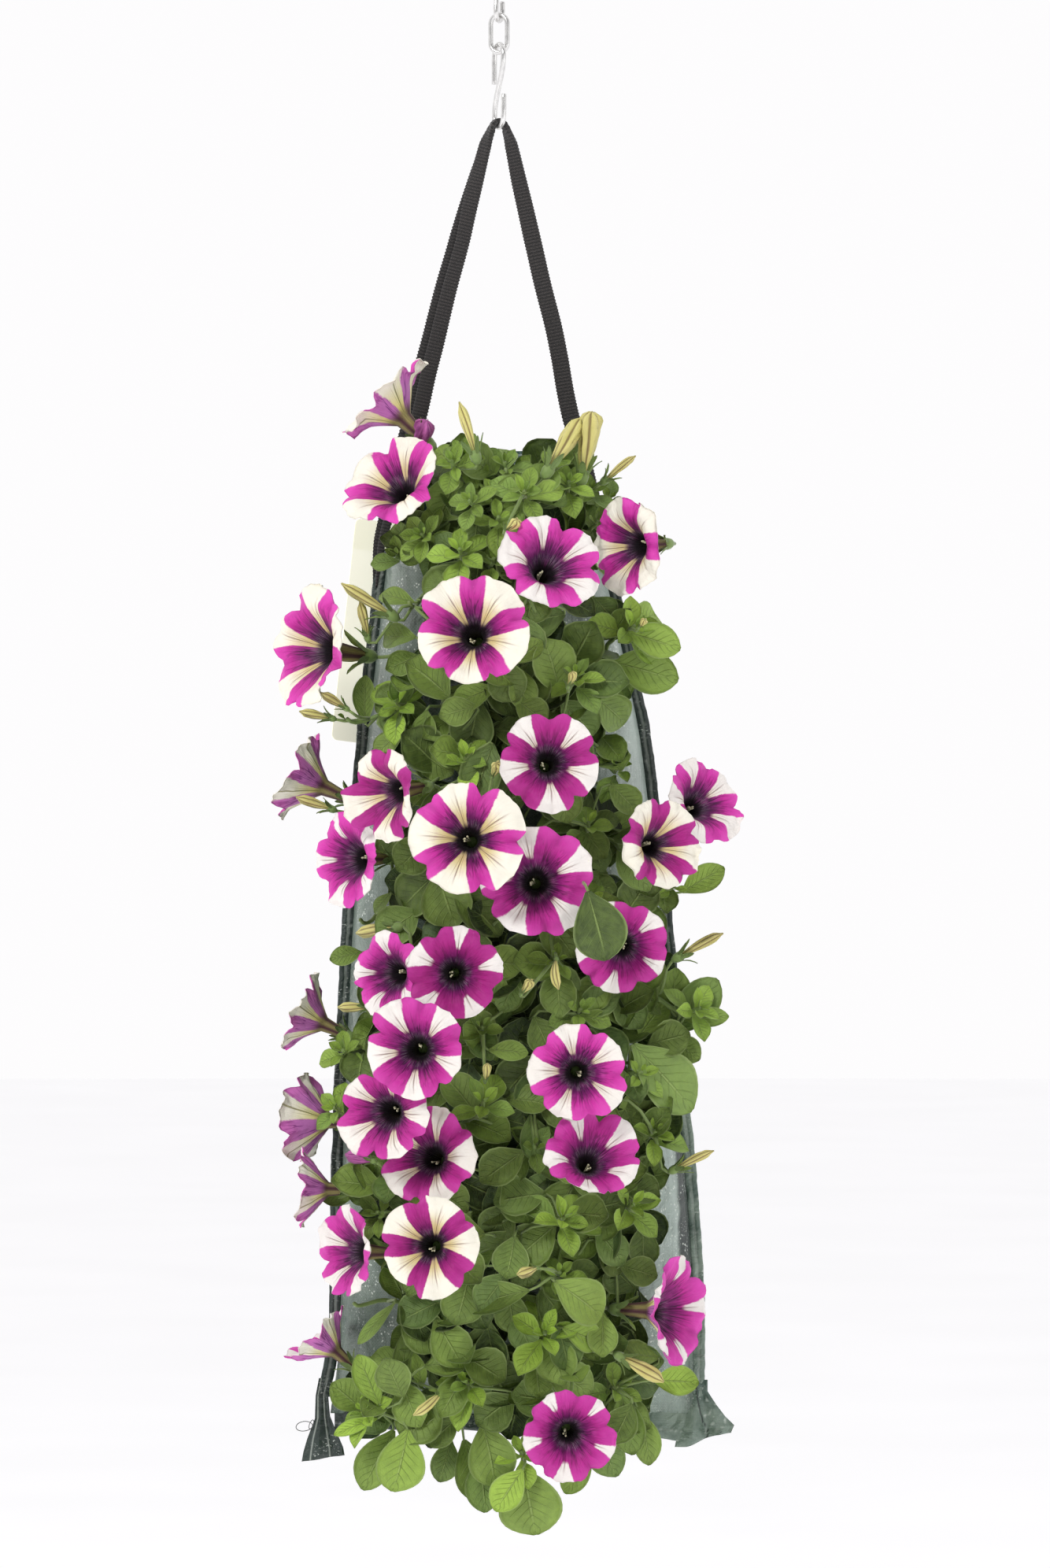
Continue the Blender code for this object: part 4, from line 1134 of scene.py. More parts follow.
def wire(name, points, diameter, turn, material, cyclic=False):
    """Round wire bent in an upright plane, with rounded cut ends."""
    piece = Piece(name + "_wire")
    path = [Vector((x * math.cos(turn), x * math.sin(turn), z)) for x, z in points]
    normal = Vector((-math.sin(turn), math.cos(turn), 0.0))
    sides = 20
    verts, marks = [], []
    count = len(path)
    rows = []
    for i, at in enumerate(path):
        after = path[(i + 1) % count if cyclic else min(i + 1, count - 1)]
        before = path[i - 1 if cyclic else max(i - 1, 0)]
        rows.append((at, (after - before).normalized(), 1.0))
    if not cyclic:
        first, last = rows[0], rows[-1]
        rows.insert(0, (first[0] - first[1] * 0.0003, first[1], 0.86))
        rows.append((last[0] + last[1] * 0.0003, last[1], 0.86))
    for at, along, size in rows:
        other = along.cross(normal)
        reach = diameter / 2 * size
        for j in range(sides):
            angle = 2 * math.pi * j / sides
            verts.append(at + spoke(normal, other, angle) * reach)
            marks.append((0.0, j / sides, 0.0))
    if cyclic:
        faces = grid_faces(len(rows), sides, ring=True, loop=True)
    else:
        faces = capped_faces(len(rows), sides)
    piece.add(verts, faces, marks)
    return piece.finish([material], "zinc_plated_steel", name)


def hooks(material):
    """The two S-hooks and the chain link between them, each turned its own way."""
    wire("top_s_hook", s_hook_points(*TOP_HOOK), HOOK_WIRE, TOP_HOOK_TURN, material)
    wire("chain_link", link_points(*LINK), LINK_WIRE, LINK_TURN, material, cyclic=True)
    wire("strap_s_hook", s_hook_points(*STRAP_HOOK), HOOK_WIRE, STRAP_HOOK_TURN, material)


# ---- soil and label ----

SOIL_TOP = -0.402
SOIL_HEAP = 0.0075  # how much higher the soil is in its middle
SOIL_LEVELS = (-0.408, -0.430, -0.480, -0.560, -0.640, -0.720, -0.800, -0.860, -0.900)
SOIL_CHIPS = 420


def soil_point(z, angle, shrink):
    """A place on the bag's section at a height, drawn in towards its middle."""
    side = -1 if math.sin(angle) < 0 else 1
    base = BAG.point(side, math.cos(angle), z)
    middle = Vector(((BAG.at(z, 1) + BAG.at(z, 2)) / 2, BAG.seam - 0.008, z))
    return middle + (base - middle) * shrink


def potting_soil(material):
    """A crumbly fill with a lumpy top and loose chips on it."""
    rng = random.Random(7)
    piece = Piece("potting_soil_fill")
    around, rings = 72, 14
    angles = [2 * math.pi * i / around for i in range(around)]
    verts = []
    for k in range(rings):
        share = k / (rings - 1)
        for angle in angles:
            at = soil_point(SOIL_TOP, angle, share * 0.90)
            lump = wobble(at.x * 90, at.y * 90, 1.0) * 0.0030
            lump += wobble(at.x * 320, at.y * 320, 2.0) * 0.0012
            at.z += SOIL_HEAP * (1 - share) + lump
            verts.append(at)
    for z in SOIL_LEVELS:
        verts += [soil_point(z, angle, 0.92) for angle in angles]
    count = rings + len(SOIL_LEVELS)
    faces = grid_faces(count, around, ring=True, flip=True)
    faces.append(tuple(range((count - 1) * around, count * around)))
    piece.add(verts, faces)
    for _ in range(SOIL_CHIPS):
        turn, share = rng.uniform(0, 2 * math.pi), math.sqrt(rng.random()) * 0.86
        at = soil_point(SOIL_TOP, turn, share)
        at.z += SOIL_HEAP * (1 - share) + 0.0010
        size = rng.uniform(0.0008, 0.0026)
        long = Vector((rng.uniform(-1, 1), rng.uniform(-1, 1), rng.uniform(-0.3, 0.3))).normalized()
        path = [at + long * size * far for far in (-1, -0.3, 0.4, 1)]
        tube(piece, path, [size * 0.30, size * 0.55, size * 0.50, size * 0.25], sides=5)
    return piece.finish([material], "potting_soil", "potting_soil")


CARD_HALF_WIDE, CARD_HALF_TALL, CARD_CORNER = 0.030, 0.0715, 0.004
CARD_HOLE, CARD_HOLE_DOWN = 0.0026, 0.008  # the hole's radius and how far it is below the top
CARD_TURN_Y, CARD_TURN_Z = math.radians(6.8), math.radians(22)


def card_point(share_x, share_z):
    """A place on the flat card, with its corners rounded and the mesh drawn back to the hole."""
    x, z = CARD_HALF_WIDE * share_x, CARD_HALF_TALL * share_z
    inner_x, inner_z = CARD_HALF_WIDE - CARD_CORNER, CARD_HALF_TALL - CARD_CORNER
    over_x, over_z = abs(x) - inner_x, abs(z) - inner_z
    if over_x > 0 and over_z > 0:
        pull = CARD_CORNER / math.hypot(over_x, over_z) * max(over_x, over_z) / CARD_CORNER
        x = math.copysign(inner_x + over_x * pull, x)
        z = math.copysign(inner_z + over_z * pull, z)
    hole_z = CARD_HALF_TALL - CARD_HOLE_DOWN
    near = math.hypot(x, z - hole_z)
    if near < CARD_HOLE:
        scale = CARD_HOLE / max(near, 1e-5)
        x, z = x * scale, hole_z + (z - CARD_HALF_TALL + CARD_HOLE_DOWN) * scale
    return x, z


def leaned(x, y, z):
    """A place on the card as it hangs: turned about Y, and then about Z."""
    c, s = math.cos(CARD_TURN_Y), math.sin(CARD_TURN_Y)
    at = Vector((x, y, z))
    at = Vector((at.x * c + at.z * s, at.y, -at.x * s + at.z * c))
    c, s = math.cos(CARD_TURN_Z), math.sin(CARD_TURN_Z)
    return Vector((at.x * c - at.y * s, at.x * s + at.y * c, at.z))


def label_card(material):
    """A thin card with rounded corners and a punched hole, leaning behind the left of the bag."""
    piece = Piece("plant_label_card")
    low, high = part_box("plant_label")
    centre = (low + high) / 2
    columns, rows = 37, 85
    for face in (1, -1):
        verts, marks = [], []
        for j in range(rows):
            for i in range(columns):
                x, z = card_point(2 * i / (columns - 1) - 1, 1 - 2 * j / (rows - 1))
                y = 0.0004 * -face + 0.0012 * (x / CARD_HALF_WIDE) ** 2 - 0.0006
                verts.append(centre + leaned(x, y, z))
                marks.append((x + CARD_HALF_WIDE, CARD_HALF_TALL - z, 0.0))
        faces = []
        for quad in grid_faces(rows, columns, flip=face > 0):
            away = [math.hypot(marks[v][0] - CARD_HALF_WIDE, marks[v][1] - CARD_HOLE_DOWN) for v in quad]
            if max(away) >= CARD_HOLE * 1.01:
                faces.append(quad)
        piece.add(verts, faces, marks)
    return piece.finish([material], "label_plastic", "plant_label")


# ---- blooms ----

# for each bloom: share of white, turn of its petals in degrees, openness of the trumpet, and how
# far its petals' ends bend back
LOOKS = {
    1: (1.00, 10, 1.5, -0.2), 2: (0.80, 2, 2.0, 0.8), 3: (0.58, 5, 2.2, 1.0),
    4: (0.78, 20, 2.1, 1.0), 5: (0.88, 36, 2.2, 1.0), 6: (0.84, 0, 1.9, 0.3),
    7: (0.70, 30, 1.5, -0.6), 8: (0.78, 36, 2.0, 0.6), 9: (0.45, 20, 2.0, 0.8),
    10: (0.60, 36, 2.3, 1.0), 11: (0.92, 14, 2.3, 1.0), 12: (0.54, 10, 2.2, 1.0),
    13: (0.90, 36, 1.8, 0.8), 14: (0.60, 10, 2.0, 0.8), 15: (0.42, 24, 2.2, 1.0),
    16: (0.50, 10, 2.0, 0.8), 17: (0.40, -5, 2.2, 0.9), 18: (0.62, 32, 2.3, 1.0),
    19: (0.70, 0, 1.5, -0.6), 20: (0.66, 16, 2.2, 1.0), 21: (0.66, -20, 2.1, 0.9),
    22: (0.48, 20, 1.8, 0.6), 23: (0.60, 0, 1.35, -0.5), 24: (0.68, -16, 2.1, 0.9),
    25: (0.50, 20, 1.3, -0.6), 26: (0.88, -16, 2.3, 1.0), 27: (0.60, 0, 1.9, 0.5),
    28: (0.28, -12, 1.6, 0.4), 29: (0.60, 20, 1.5, -0.6), 30: (0.26, 29, 2.2, 0.8),
}
# blooms opened a little further to the front than their nodes: degrees to the right and up, and size
TURNED = {
    1: (0, 0, 1.05), 2: (0, 0, 1.06), 3: (8, 16, 1.0), 4: (-5, 0, 0.95), 6: (15, 2, 1.07),
    9: (-10, 0, 1.0), 14: (4, 2, 1.0), 28: (13, 0, 0.98), 29: (6, 0, 1.05),
}
# how much duskier than the rest some blooms are
DUSKY = {
    5: 0.3, 8: 0.9, 10: 0.85, 11: 0.2, 12: 0.45, 13: 0.85, 15: 0.6, 17: 1.0, 18: 0.4, 21: 0.45,
    22: 0.45, 24: 0.45, 26: 0.95, 27: 0.2, 30: 0.55,
}
DEEP = 1.35  # how deep the trumpet is, in rim radii
# its radius and depth in rim radii, down its tube and at the throat, where it opens
TUBE = ((0.080, -DEEP), (0.100, -1.15), (0.130, -0.90), (0.155, -0.72))
THROAT = (0.17, -0.62)


class Bloom:
    """Where a bloom's rim is, which way it faces and how big it is, measured on its CAD node."""

    def __init__(self, number):
        self.number = number
        self.node = f"bloom_{number:02d}"
        points = {tuple(round(c, 5) for c in v.co) for v in NODES[self.node].data.vertices}
        points = np.array(sorted(points))
        centre = points.mean(axis=0)
        values, vectors = np.linalg.eigh(np.cov((points - centre).T))
        odd = 0 if values[1] - values[0] > values[2] - values[1] else 2
        axis = vectors[:, odd]
        along = (points - centre) @ axis
        out = np.linalg.norm(points - centre - np.outer(along, axis), axis=1)
        wide = out > 0.7 * out.max()
        if along[wide].mean() < along[~wide].mean():
            axis = -axis
        self.rim = Vector(points[wide].mean(axis=0))
        self.facing = Vector(axis).normalized()
        self.radius = float(np.linalg.norm(points[wide] - np.array(self.rim), axis=1).mean())
        aside, rise, size = TURNED.get(number, (0, 0, 1.0))
        azimuth = math.atan2(self.facing.x, -self.facing.y) + math.radians(aside)
        height = math.asin(self.facing.z) + math.radians(rise)
        level = math.cos(height)
        self.facing = Vector((math.sin(azimuth) * level, -math.cos(azimuth) * level, math.sin(height)))
        self.radius *= size
        self.right = UP.cross(self.facing).normalized()
        self.up = self.facing.cross(self.right).normalized()
        self.base = self.rim - self.facing * self.radius * DEEP
        self.white, turn, self.open, self.bend = LOOKS[number]
        self.turn = math.radians(turn + 90)

    def place(self, x, y, t):
        """A point from the bloom's own right, up and forward, in metres."""
        return self.rim + self.right * x + self.up * y + self.facing * t

    def holds(self, points, margin=0.0015):
        """Whether any of the points is in the trumpet or close in front of its face."""
        offset = points - np.array(self.rim)
        along = offset @ np.array(self.facing)
        out = np.linalg.norm(offset - np.outer(along, np.array(self.facing)), axis=1)
        r = self.radius
        throat, depth = THROAT
        share = np.clip(1 - along / (depth * r), 0, 1)
        reach = np.where(along > depth * r, r * (throat + 0.83 * share**0.7), r * 0.16)
        solid = (along > -DEEP * r) & (along < 0.10 * r) & (out < reach + margin)
        return bool(solid.any())

    def hidden_by(self, points):
        """Whether any of the points stands between the bloom's face and someone in front."""
        if self.facing.y > -0.35:
            return False
        aside = points[:, [0, 2]] - np.array((self.rim.x, self.rim.z))
        flat = np.array((self.facing.x, self.facing.z))
        aside = aside + flat * 0.3 * self.radius
        near = np.linalg.norm(aside, axis=1) < 0.80 * self.radius
        return bool((near & (points[:, 1] < self.rim.y - 0.002)).any())


BLOOMS = [Bloom(number) for number in sorted(LOOKS)]


def petal_of(angle):
    """Angles in petals, the petal that each is in, and how far it is from the petal's middle."""
    turn = angle * 5 / (2 * math.pi)
    petal = np.floor(turn + 0.5)
    return turn, petal, np.abs(turn - petal) * 2


def petal_surface(bloom, reach, angle):
    """Depth, in rim radii, of the flower's face at a reach from its axis and an angle."""
    own = bloom.number * 3.7
    _, petal, half = petal_of(angle)
    share = np.clip((reach - THROAT[0]) / (1 - THROAT[0]), 0, 1)
    depth = THROAT[1] * (1 - share) ** bloom.open
    lean = wobbles(petal * 5.1, own, 2.0)
    depth += -(0.10 * bloom.bend + 0.34 * lean) * smooth(0.60, 1.10, reach)
    depth += -0.085 * half**3 * smooth(0.35, 1.0, reach)
    depth += 0.040 * np.sin(math.pi * half) * smooth(0.35, 0.9, reach)
    depth += -0.020 * np.exp(-((half / 0.10) ** 2)) * smooth(0.2, 0.5, reach)
    x, y = reach * np.cos(angle), reach * np.sin(angle)
    ruffle = wobbles(x * 2.6, y * 2.6, own) + 0.4 * wobbles(x * 7.0, y * 7.0, own + 4)
    return depth + 0.165 * ruffle * share**2.0


def rim_reach(bloom, angle):
    """How far the rim is from the axis, in rim radii: notched between petals, pointed in them."""
    own = bloom.number * 2.3
    turn, petal, half = petal_of(angle)
    size = wobbles(petal * 3.3, own, 6.0) * 1.2
    ragged = wobbles(angle * 4.0, own, 1.0) + 0.5 * wobbles(angle * 13.0, own, 3.0)
    deepness = 0.135 + 0.12 * wobbles(np.floor(turn) * 4.7, own, 9.0)
    notch = np.clip(deepness, 0.04, 0.26) * np.exp(-(((1 - half) / 0.20) ** 2))
    point = 0.018 * np.exp(-((half / 0.10) ** 2)) - 0.014 * np.exp(-(((half - 0.40) / 0.12) ** 2))
    return 1.055 + 0.11 * size - notch + point - 0.03 * half**2 + 0.034 * ragged


def normals(grid, aside):
    """A grid's normals, from the way to the side of each point."""
    normal = np.cross(np.gradient(grid, axis=0), aside)
    return normal / (np.linalg.norm(normal, axis=-1, keepdims=True) + 1e-12)


def corolla_grid(bloom, angles, limb=19):
    """Reach, depth and depth mark of the trumpet's points, in rim radii, ring by ring."""
    reaches = rim_reach(bloom, angles)
    rows, depths, downs = [], [], []
    for reach, depth in TUBE:
        rows.append(np.full(len(angles), reach))
        depths.append(np.full(len(angles), depth))
        downs.append((THROAT[1] - depth) / (THROAT[1] + DEEP))
    for k in range(limb):
        reach = THROAT[0] + (reaches - THROAT[0]) * (k / (limb - 1)) ** 0.85
        rows.append(reach)
        depths.append(petal_surface(bloom, reach, angles))
        downs.append(-DUSKY.get(bloom.number, 0.0))
    return np.array(rows), np.array(depths), np.array(downs)


def stamens(piece, bloom):
    """Five thread-like stamens with thicker tips, deep in the throat."""
    rng = random.Random(bloom.number)
    lean = rng.uniform(0, 2 * math.pi)
    for _ in range(5):
        turn = lean + rng.uniform(-0.9, 0.9)
        off = bloom.radius * rng.uniform(0.06, 0.11)
        end = -bloom.radius * rng.uniform(0.60, 0.72)
        start = bloom.place(0, 0, -bloom.radius * 0.95)
        tip = bloom.place(math.cos(turn) * off, math.sin(turn) * off, end)
        path = [start, start.lerp(tip, 0.5)]
        path += [tip + bloom.facing * far for far in (-0.0004, 0.0006, 0.0013)]
        tube(piece, path, [0.0002, 0.0002, 0.0006, 0.0007, 0.0003], sides=6, kind=1)


def corolla(bloom, material, anther):
    """One trumpet of five joined petals: its face, its back, and the stamens in its throat."""
    piece = Piece(bloom.node + "_corolla")
    around = 90
    angles = np.arange(around) * 2 * math.pi / around - math.pi
    reach, depth, downs = corolla_grid(bloom, angles)
    cos, sin = np.cos(angles), np.sin(angles)
    local = np.stack([reach * cos, reach * sin, depth], axis=-1)
    normal = normals(local, np.roll(local, -1, axis=1) - np.roll(local, 1, axis=1))
    thick = 0.00042 / bloom.radius
    own = (bloom.number * 0.137) % 1.0
    c, s = math.cos(bloom.turn), math.sin(bloom.turn)
    spin = np.array([[c, -s], [s, c]])
    count = len(reach)
    uneven = 0.20 * wobbles(cos * 0.9, sin * 0.9, own * 20)
    c, s = np.cos(uneven), np.sin(uneven)
    for back in (0, 1):
        skin = local - normal * thick * back
        flat = skin[..., :2] @ spin.T
        x = flat[..., 0] * c - flat[..., 1] * s
        y = flat[..., 0] * s + flat[..., 1] * c
        verts = (np.array(bloom.rim)
                 + x[..., None] * bloom.radius * np.array(bloom.right)
                 + y[..., None] * bloom.radius * np.array(bloom.up)
                 + skin[..., 2:] * bloom.radius * np.array(bloom.facing))
        marks = np.stack([reach * cos, reach * sin, np.full_like(reach, back)], axis=-1)
        tone = np.stack([np.full_like(reach, bloom.white), downs[:, None] + np.zeros_like(reach),
                         np.full_like(reach, own)], axis=-1)
        faces = grid_faces(count, around, ring=True, flip=not back)
        piece.add(verts, faces, marks, tone.reshape(-1, 3))
    piece.join_skins(count * around, list(range((count - 1) * around, count * around)))
    stamens(piece, bloom)
    return piece.finish([material, anther], "petunia_petal", bloom.node)


# ---- leaves, shoots, buds ----


def leaf_shape(base, direction, facing, long, half_wide, droop=0.5, fold=0.35, twist=0.0, own=0.0,
               columns=9, rows=13, neck=0.10, blunt=0.72):
    """Points of a blade, row by row from base to tip, with its across and along marks."""
    along = direction.normalized()
    across = along.cross(facing).normalized()
    up = across.cross(along).normalized()
    points, marks = [], []
    at = Vector(base)
    step = long / (rows - 1)
    for i in range(rows):
        share = i / (rows - 1)
        bend = droop * (0.25 + 1.5 * share) / (rows - 1)
        turned = along * math.cos(bend) - up * math.sin(bend)
        up = (up * math.cos(bend) + along * math.sin(bend)).normalized()
        along = turned.normalized()
        roll = twist / (rows - 1)
        side = (across * math.cos(roll) + up * math.sin(roll)).normalized()
        up = side.cross(along).normalized()
        across = along.cross(up).normalized()
        if i:
            at = at + along * step
        body = max(math.sin(math.pi * min(share * 0.985 + 0.005, 1.0) ** 1.22), 0.0) ** blunt
        wide = half_wide * max(body, neck * smooth(1.0, 0.8, share))
        for j in range(columns):
            t = 2 * j / (columns - 1) - 1
            angle = fold * smooth(0.0, 0.35, share) * (1.0 - 0.45 * share)
            lift = math.sin(angle) * abs(t) ** 1.5 * wide
            wave = wobble(own * 9 + share * 2.6, t * 1.3, own) * 0.16 * wide * abs(t)
            bulge = -0.05 * wide * math.cos(abs(t) * math.pi)
            points.append(at + across * (t * wide * math.cos(angle * 0.6)) + up * (lift + wave + bulge))
            marks.append((t, share))
    return points, marks


def thinned(count, kept):
    """Row numbers, first and last among them, that keep some of a grid's rows."""
    return np.unique(np.round(np.linspace(0, count - 1, kept)).astype(int))


def add_leaf(piece, shape, bright, yellow, own, columns=9, rows=13, kept=(9, 7), thick=0.00055):
    """A blade with an upper and an under skin that meet along its edge. kept is how many of the
    shape's rows and columns the mesh has."""
    points, marks = shape
    grid = np.array([tuple(p) for p in points]).reshape(rows, columns, 3)
    normal = normals(grid, np.gradient(grid, axis=1))
    mark = np.array(marks).reshape(rows, columns, 2)
    pick = np.ix_(thinned(rows, kept[0]), thinned(columns, kept[1]))
    grid, normal, mark = grid[pick], normal[pick], mark[pick]
    rows, columns = mark.shape[:2]
    edge = np.clip(1.0 - np.abs(mark[..., 0]) ** 6, 0.25, 1.0)[..., None]
    for under in (0, 1):
        skin = grid + normal * (thick / 2 if under else -thick / 2) * edge
        rows_of = np.concatenate([mark, np.full((rows, columns, 1), float(under))], axis=-1)
        piece.add(skin, grid_faces(rows, columns, flip=not under), rows_of, (bright, yellow, own))
    border = list(range(columns))
    border += [i * columns + columns - 1 for i in range(1, rows)]
    border += [(rows - 1) * columns + j for j in range(columns - 2, -1, -1)]
    border += [i * columns for i in range(rows - 2, 0, -1)]
    piece.join_skins(rows * columns, border, flip=True)


# places where the bag shows between the leaves: lowest and highest x, then lowest and highest z
BARE = (
    (-0.0810, -0.0470, -0.4480, -0.3960), (-0.0960, -0.0760, -0.5140, -0.4740),
    (-0.0980, -0.0760, -0.6420, -0.5430), (0.0830, 0.1090, -0.5330, -0.4600),
    (-0.1010, -0.0670, -0.8880, -0.8520), (-0.1180, -0.0960, -0.9650, -0.9060),
    (0.1030, 0.1520, -0.9600, -0.7830),
)
FAR_BLOOM = 0.12  # a bloom further than this from a blade's foot isn't tested
BARE_SHARE = 0.12  # most of a blade that may reach into a bare place


def clear(points):
    """Whether a blade's points keep out of the blooms, the bag and the places left bare."""
    rows = np.array([tuple(p) for p in points])
    for bloom in BLOOMS:
        near = (bloom.rim - points[0]).length <= FAR_BLOOM
        if near and (bloom.holds(rows) or bloom.hidden_by(rows)):
            return False
    for x0, x1, z0, z1 in BARE:
        inside = (rows[:, 0] > x0) & (rows[:, 0] < x1) & (rows[:, 2] > z0) & (rows[:, 2] < z1)
        if inside.mean() > BARE_SHARE:
            return False
    for x, y, z in rows[::5]:
        if BAG.low < z < BAG.front_top - 0.010 and abs(BAG.u_of(x, z)) < 1.02:
            if y > BAG.front_y(x, z) - 0.002:
                return False
        elif y > BAG.seam + 0.018:
            return False
    return True


def try_leaf(piece, base, direction, facing, long, half_wide, bright, yellow, rng, tries=4, **more):
    """Adds a blade where it finds room, turning and shortening it a little if it must."""
    own = rng.random()
    for k in range(tries):
        shape = leaf_shape(base, direction, facing, long, half_wide, own=own, **more)
        if clear(shape[0]):
            add_leaf(piece, shape, bright, yellow, own)
            return True
        aside = direction.cross(facing).normalized() * (0.5 if k % 2 else -0.5) * (1 + k * 0.4)
        direction = (direction + aside).normalized()
        facing = squared(facing, direction)
        long *= 0.90
        half_wide *= 0.90
    return False


GOLDEN_ANGLE = 2.39996  # from one leaf of a shoot to the next, in radians


def rosette(piece, at, axis, size, count, bright, yellow, rng):
    """A shoot's tip: blades round an axis, long and spread outside, short and upright inside."""
    axis = axis.normalized()
    first = axis.cross(UP)
    first = first.normalized() if first.length > 0.1 else Vector((1, 0, 0))
    other = axis.cross(first)
    start = rng.uniform(0, 2 * math.pi)
    for k in range(count):
        share = k / max(count - 1, 1)
        turn = start + k * GOLDEN_ANGLE
        lift = math.radians(8 + 62 * share**1.15 + rng.uniform(-7, 7))
        out = spoke(first, other, turn)
        long = size * (1 - 0.70 * share**0.85) * rng.uniform(0.9, 1.1)
        half = long * rng.uniform(0.29, 0.37) * (1 - 0.25 * share)
        base = at - axis * size * 0.42 * (1 - share) + out * 0.0012
        direction = spoke(out, axis, lift)
        facing = axis * math.cos(lift) - out * math.sin(lift)
        lit = bright * rng.uniform(0.75, 1.15) + 0.10 * share
        try_leaf(piece, base, direction, facing, long, half, lit, min(yellow + 0.25 * share, 1.0), rng,
                 droop=rng.uniform(0.35, 0.9) * (1 - share), fold=rng.uniform(0.2, 0.5) + 0.3 * share,
                 twist=rng.uniform(-0.3, 0.3), blunt=rng.uniform(0.8, 1.15))


def stem_path(start, out, end, arrive, count=18):
    """A shoot from its root to its tip, leaving and arriving in given directions."""
    span = (end - start).length
    p1 = start + out.normalized() * span * 0.40
    p2 = end - arrive.normalized() * span * 0.36
    return [bezier(start, p1, p2, end, k / (count - 1)) for k in range(count)]


def calyx(piece, base, axis, size, rng, spread=0.34):
    """A small green cup with five narrow sepals."""
    first = axis.orthogonal().normalized()
    other = axis.cross(first)
    path = [base + axis * size * far for far in (-0.16, -0.06, 0.06, 0.18)]
    tube(piece, path, [size * 0.05, size * 0.12, size * 0.14, size * 0.11], sides=8, kind=1,
         tone=(0.55, 0.0, 0.0))
    start = rng.uniform(0, 2 * math.pi)
    for k in range(5):
        turn = start + 2 * math.pi * k / 5 + rng.uniform(-0.15, 0.15)
        out = spoke(first, other, turn)
        lean = spread * rng.uniform(0.7, 1.3)
        shape = leaf_shape(base + out * size * 0.09, axis + out * lean, axis * lean * -1 + out * -1,
                           size * rng.uniform(0.48, 0.62), size * 0.075, droop=rng.uniform(0.1, 0.7),
                           fold=0.2, own=rng.random(), columns=5, rows=8, neck=0.5)
        add_leaf(piece, shape, 0.62, 0.35, rng.random(), columns=5, rows=8, kept=(6, 3))


def bud(piece, base, axis, long, wide, rng, brown, curl, kind):
    """A folded or wilted corolla: a pleated spindle out of its calyx."""
    axis = axis.normalized()
    side = axis.orthogonal().normalized()
    path, radii = [], []
    count = 18
    spent = smooth(0.0036, 0.0052, wide)  # the big wilted ones end in a blunt, folded top
    for k in range(count):
        share = k / (count - 1)
        path.append(base + axis * long * share + side * math.sin(share * 2.4) * long * curl * 0.25
                    - UP * long * curl * 0.30 * share**2)
        body = 0.30 + 0.70 * math.sin(min(share * 1.10, 1.0) * math.pi * (0.72 - 0.14 * spent)) ** 1.4
        tip = smooth(1.02 + 0.01 * spent, 0.80 + 0.10 * spent, share) * 0.85 + 0.15
        radii.append(wide * body * tip)
    own = rng.random()

    def pleats(angle, share):
        deep = 0.12 + (0.22 + 0.16 * spent) * share
        crumple = (0.10 + 0.16 * spent) * wobble(angle * 3, share * 6, own * 9)
        return 1 + deep * math.cos(5 * angle + share * 3.0) + crumple

    tube(piece, path, radii, sides=20, kind=kind, tone=(0.5, brown, own), shape=pleats)
    calyx(piece, base, axis, long * 0.72, rng, spread=0.30)


# ---- the twelve petunias ----

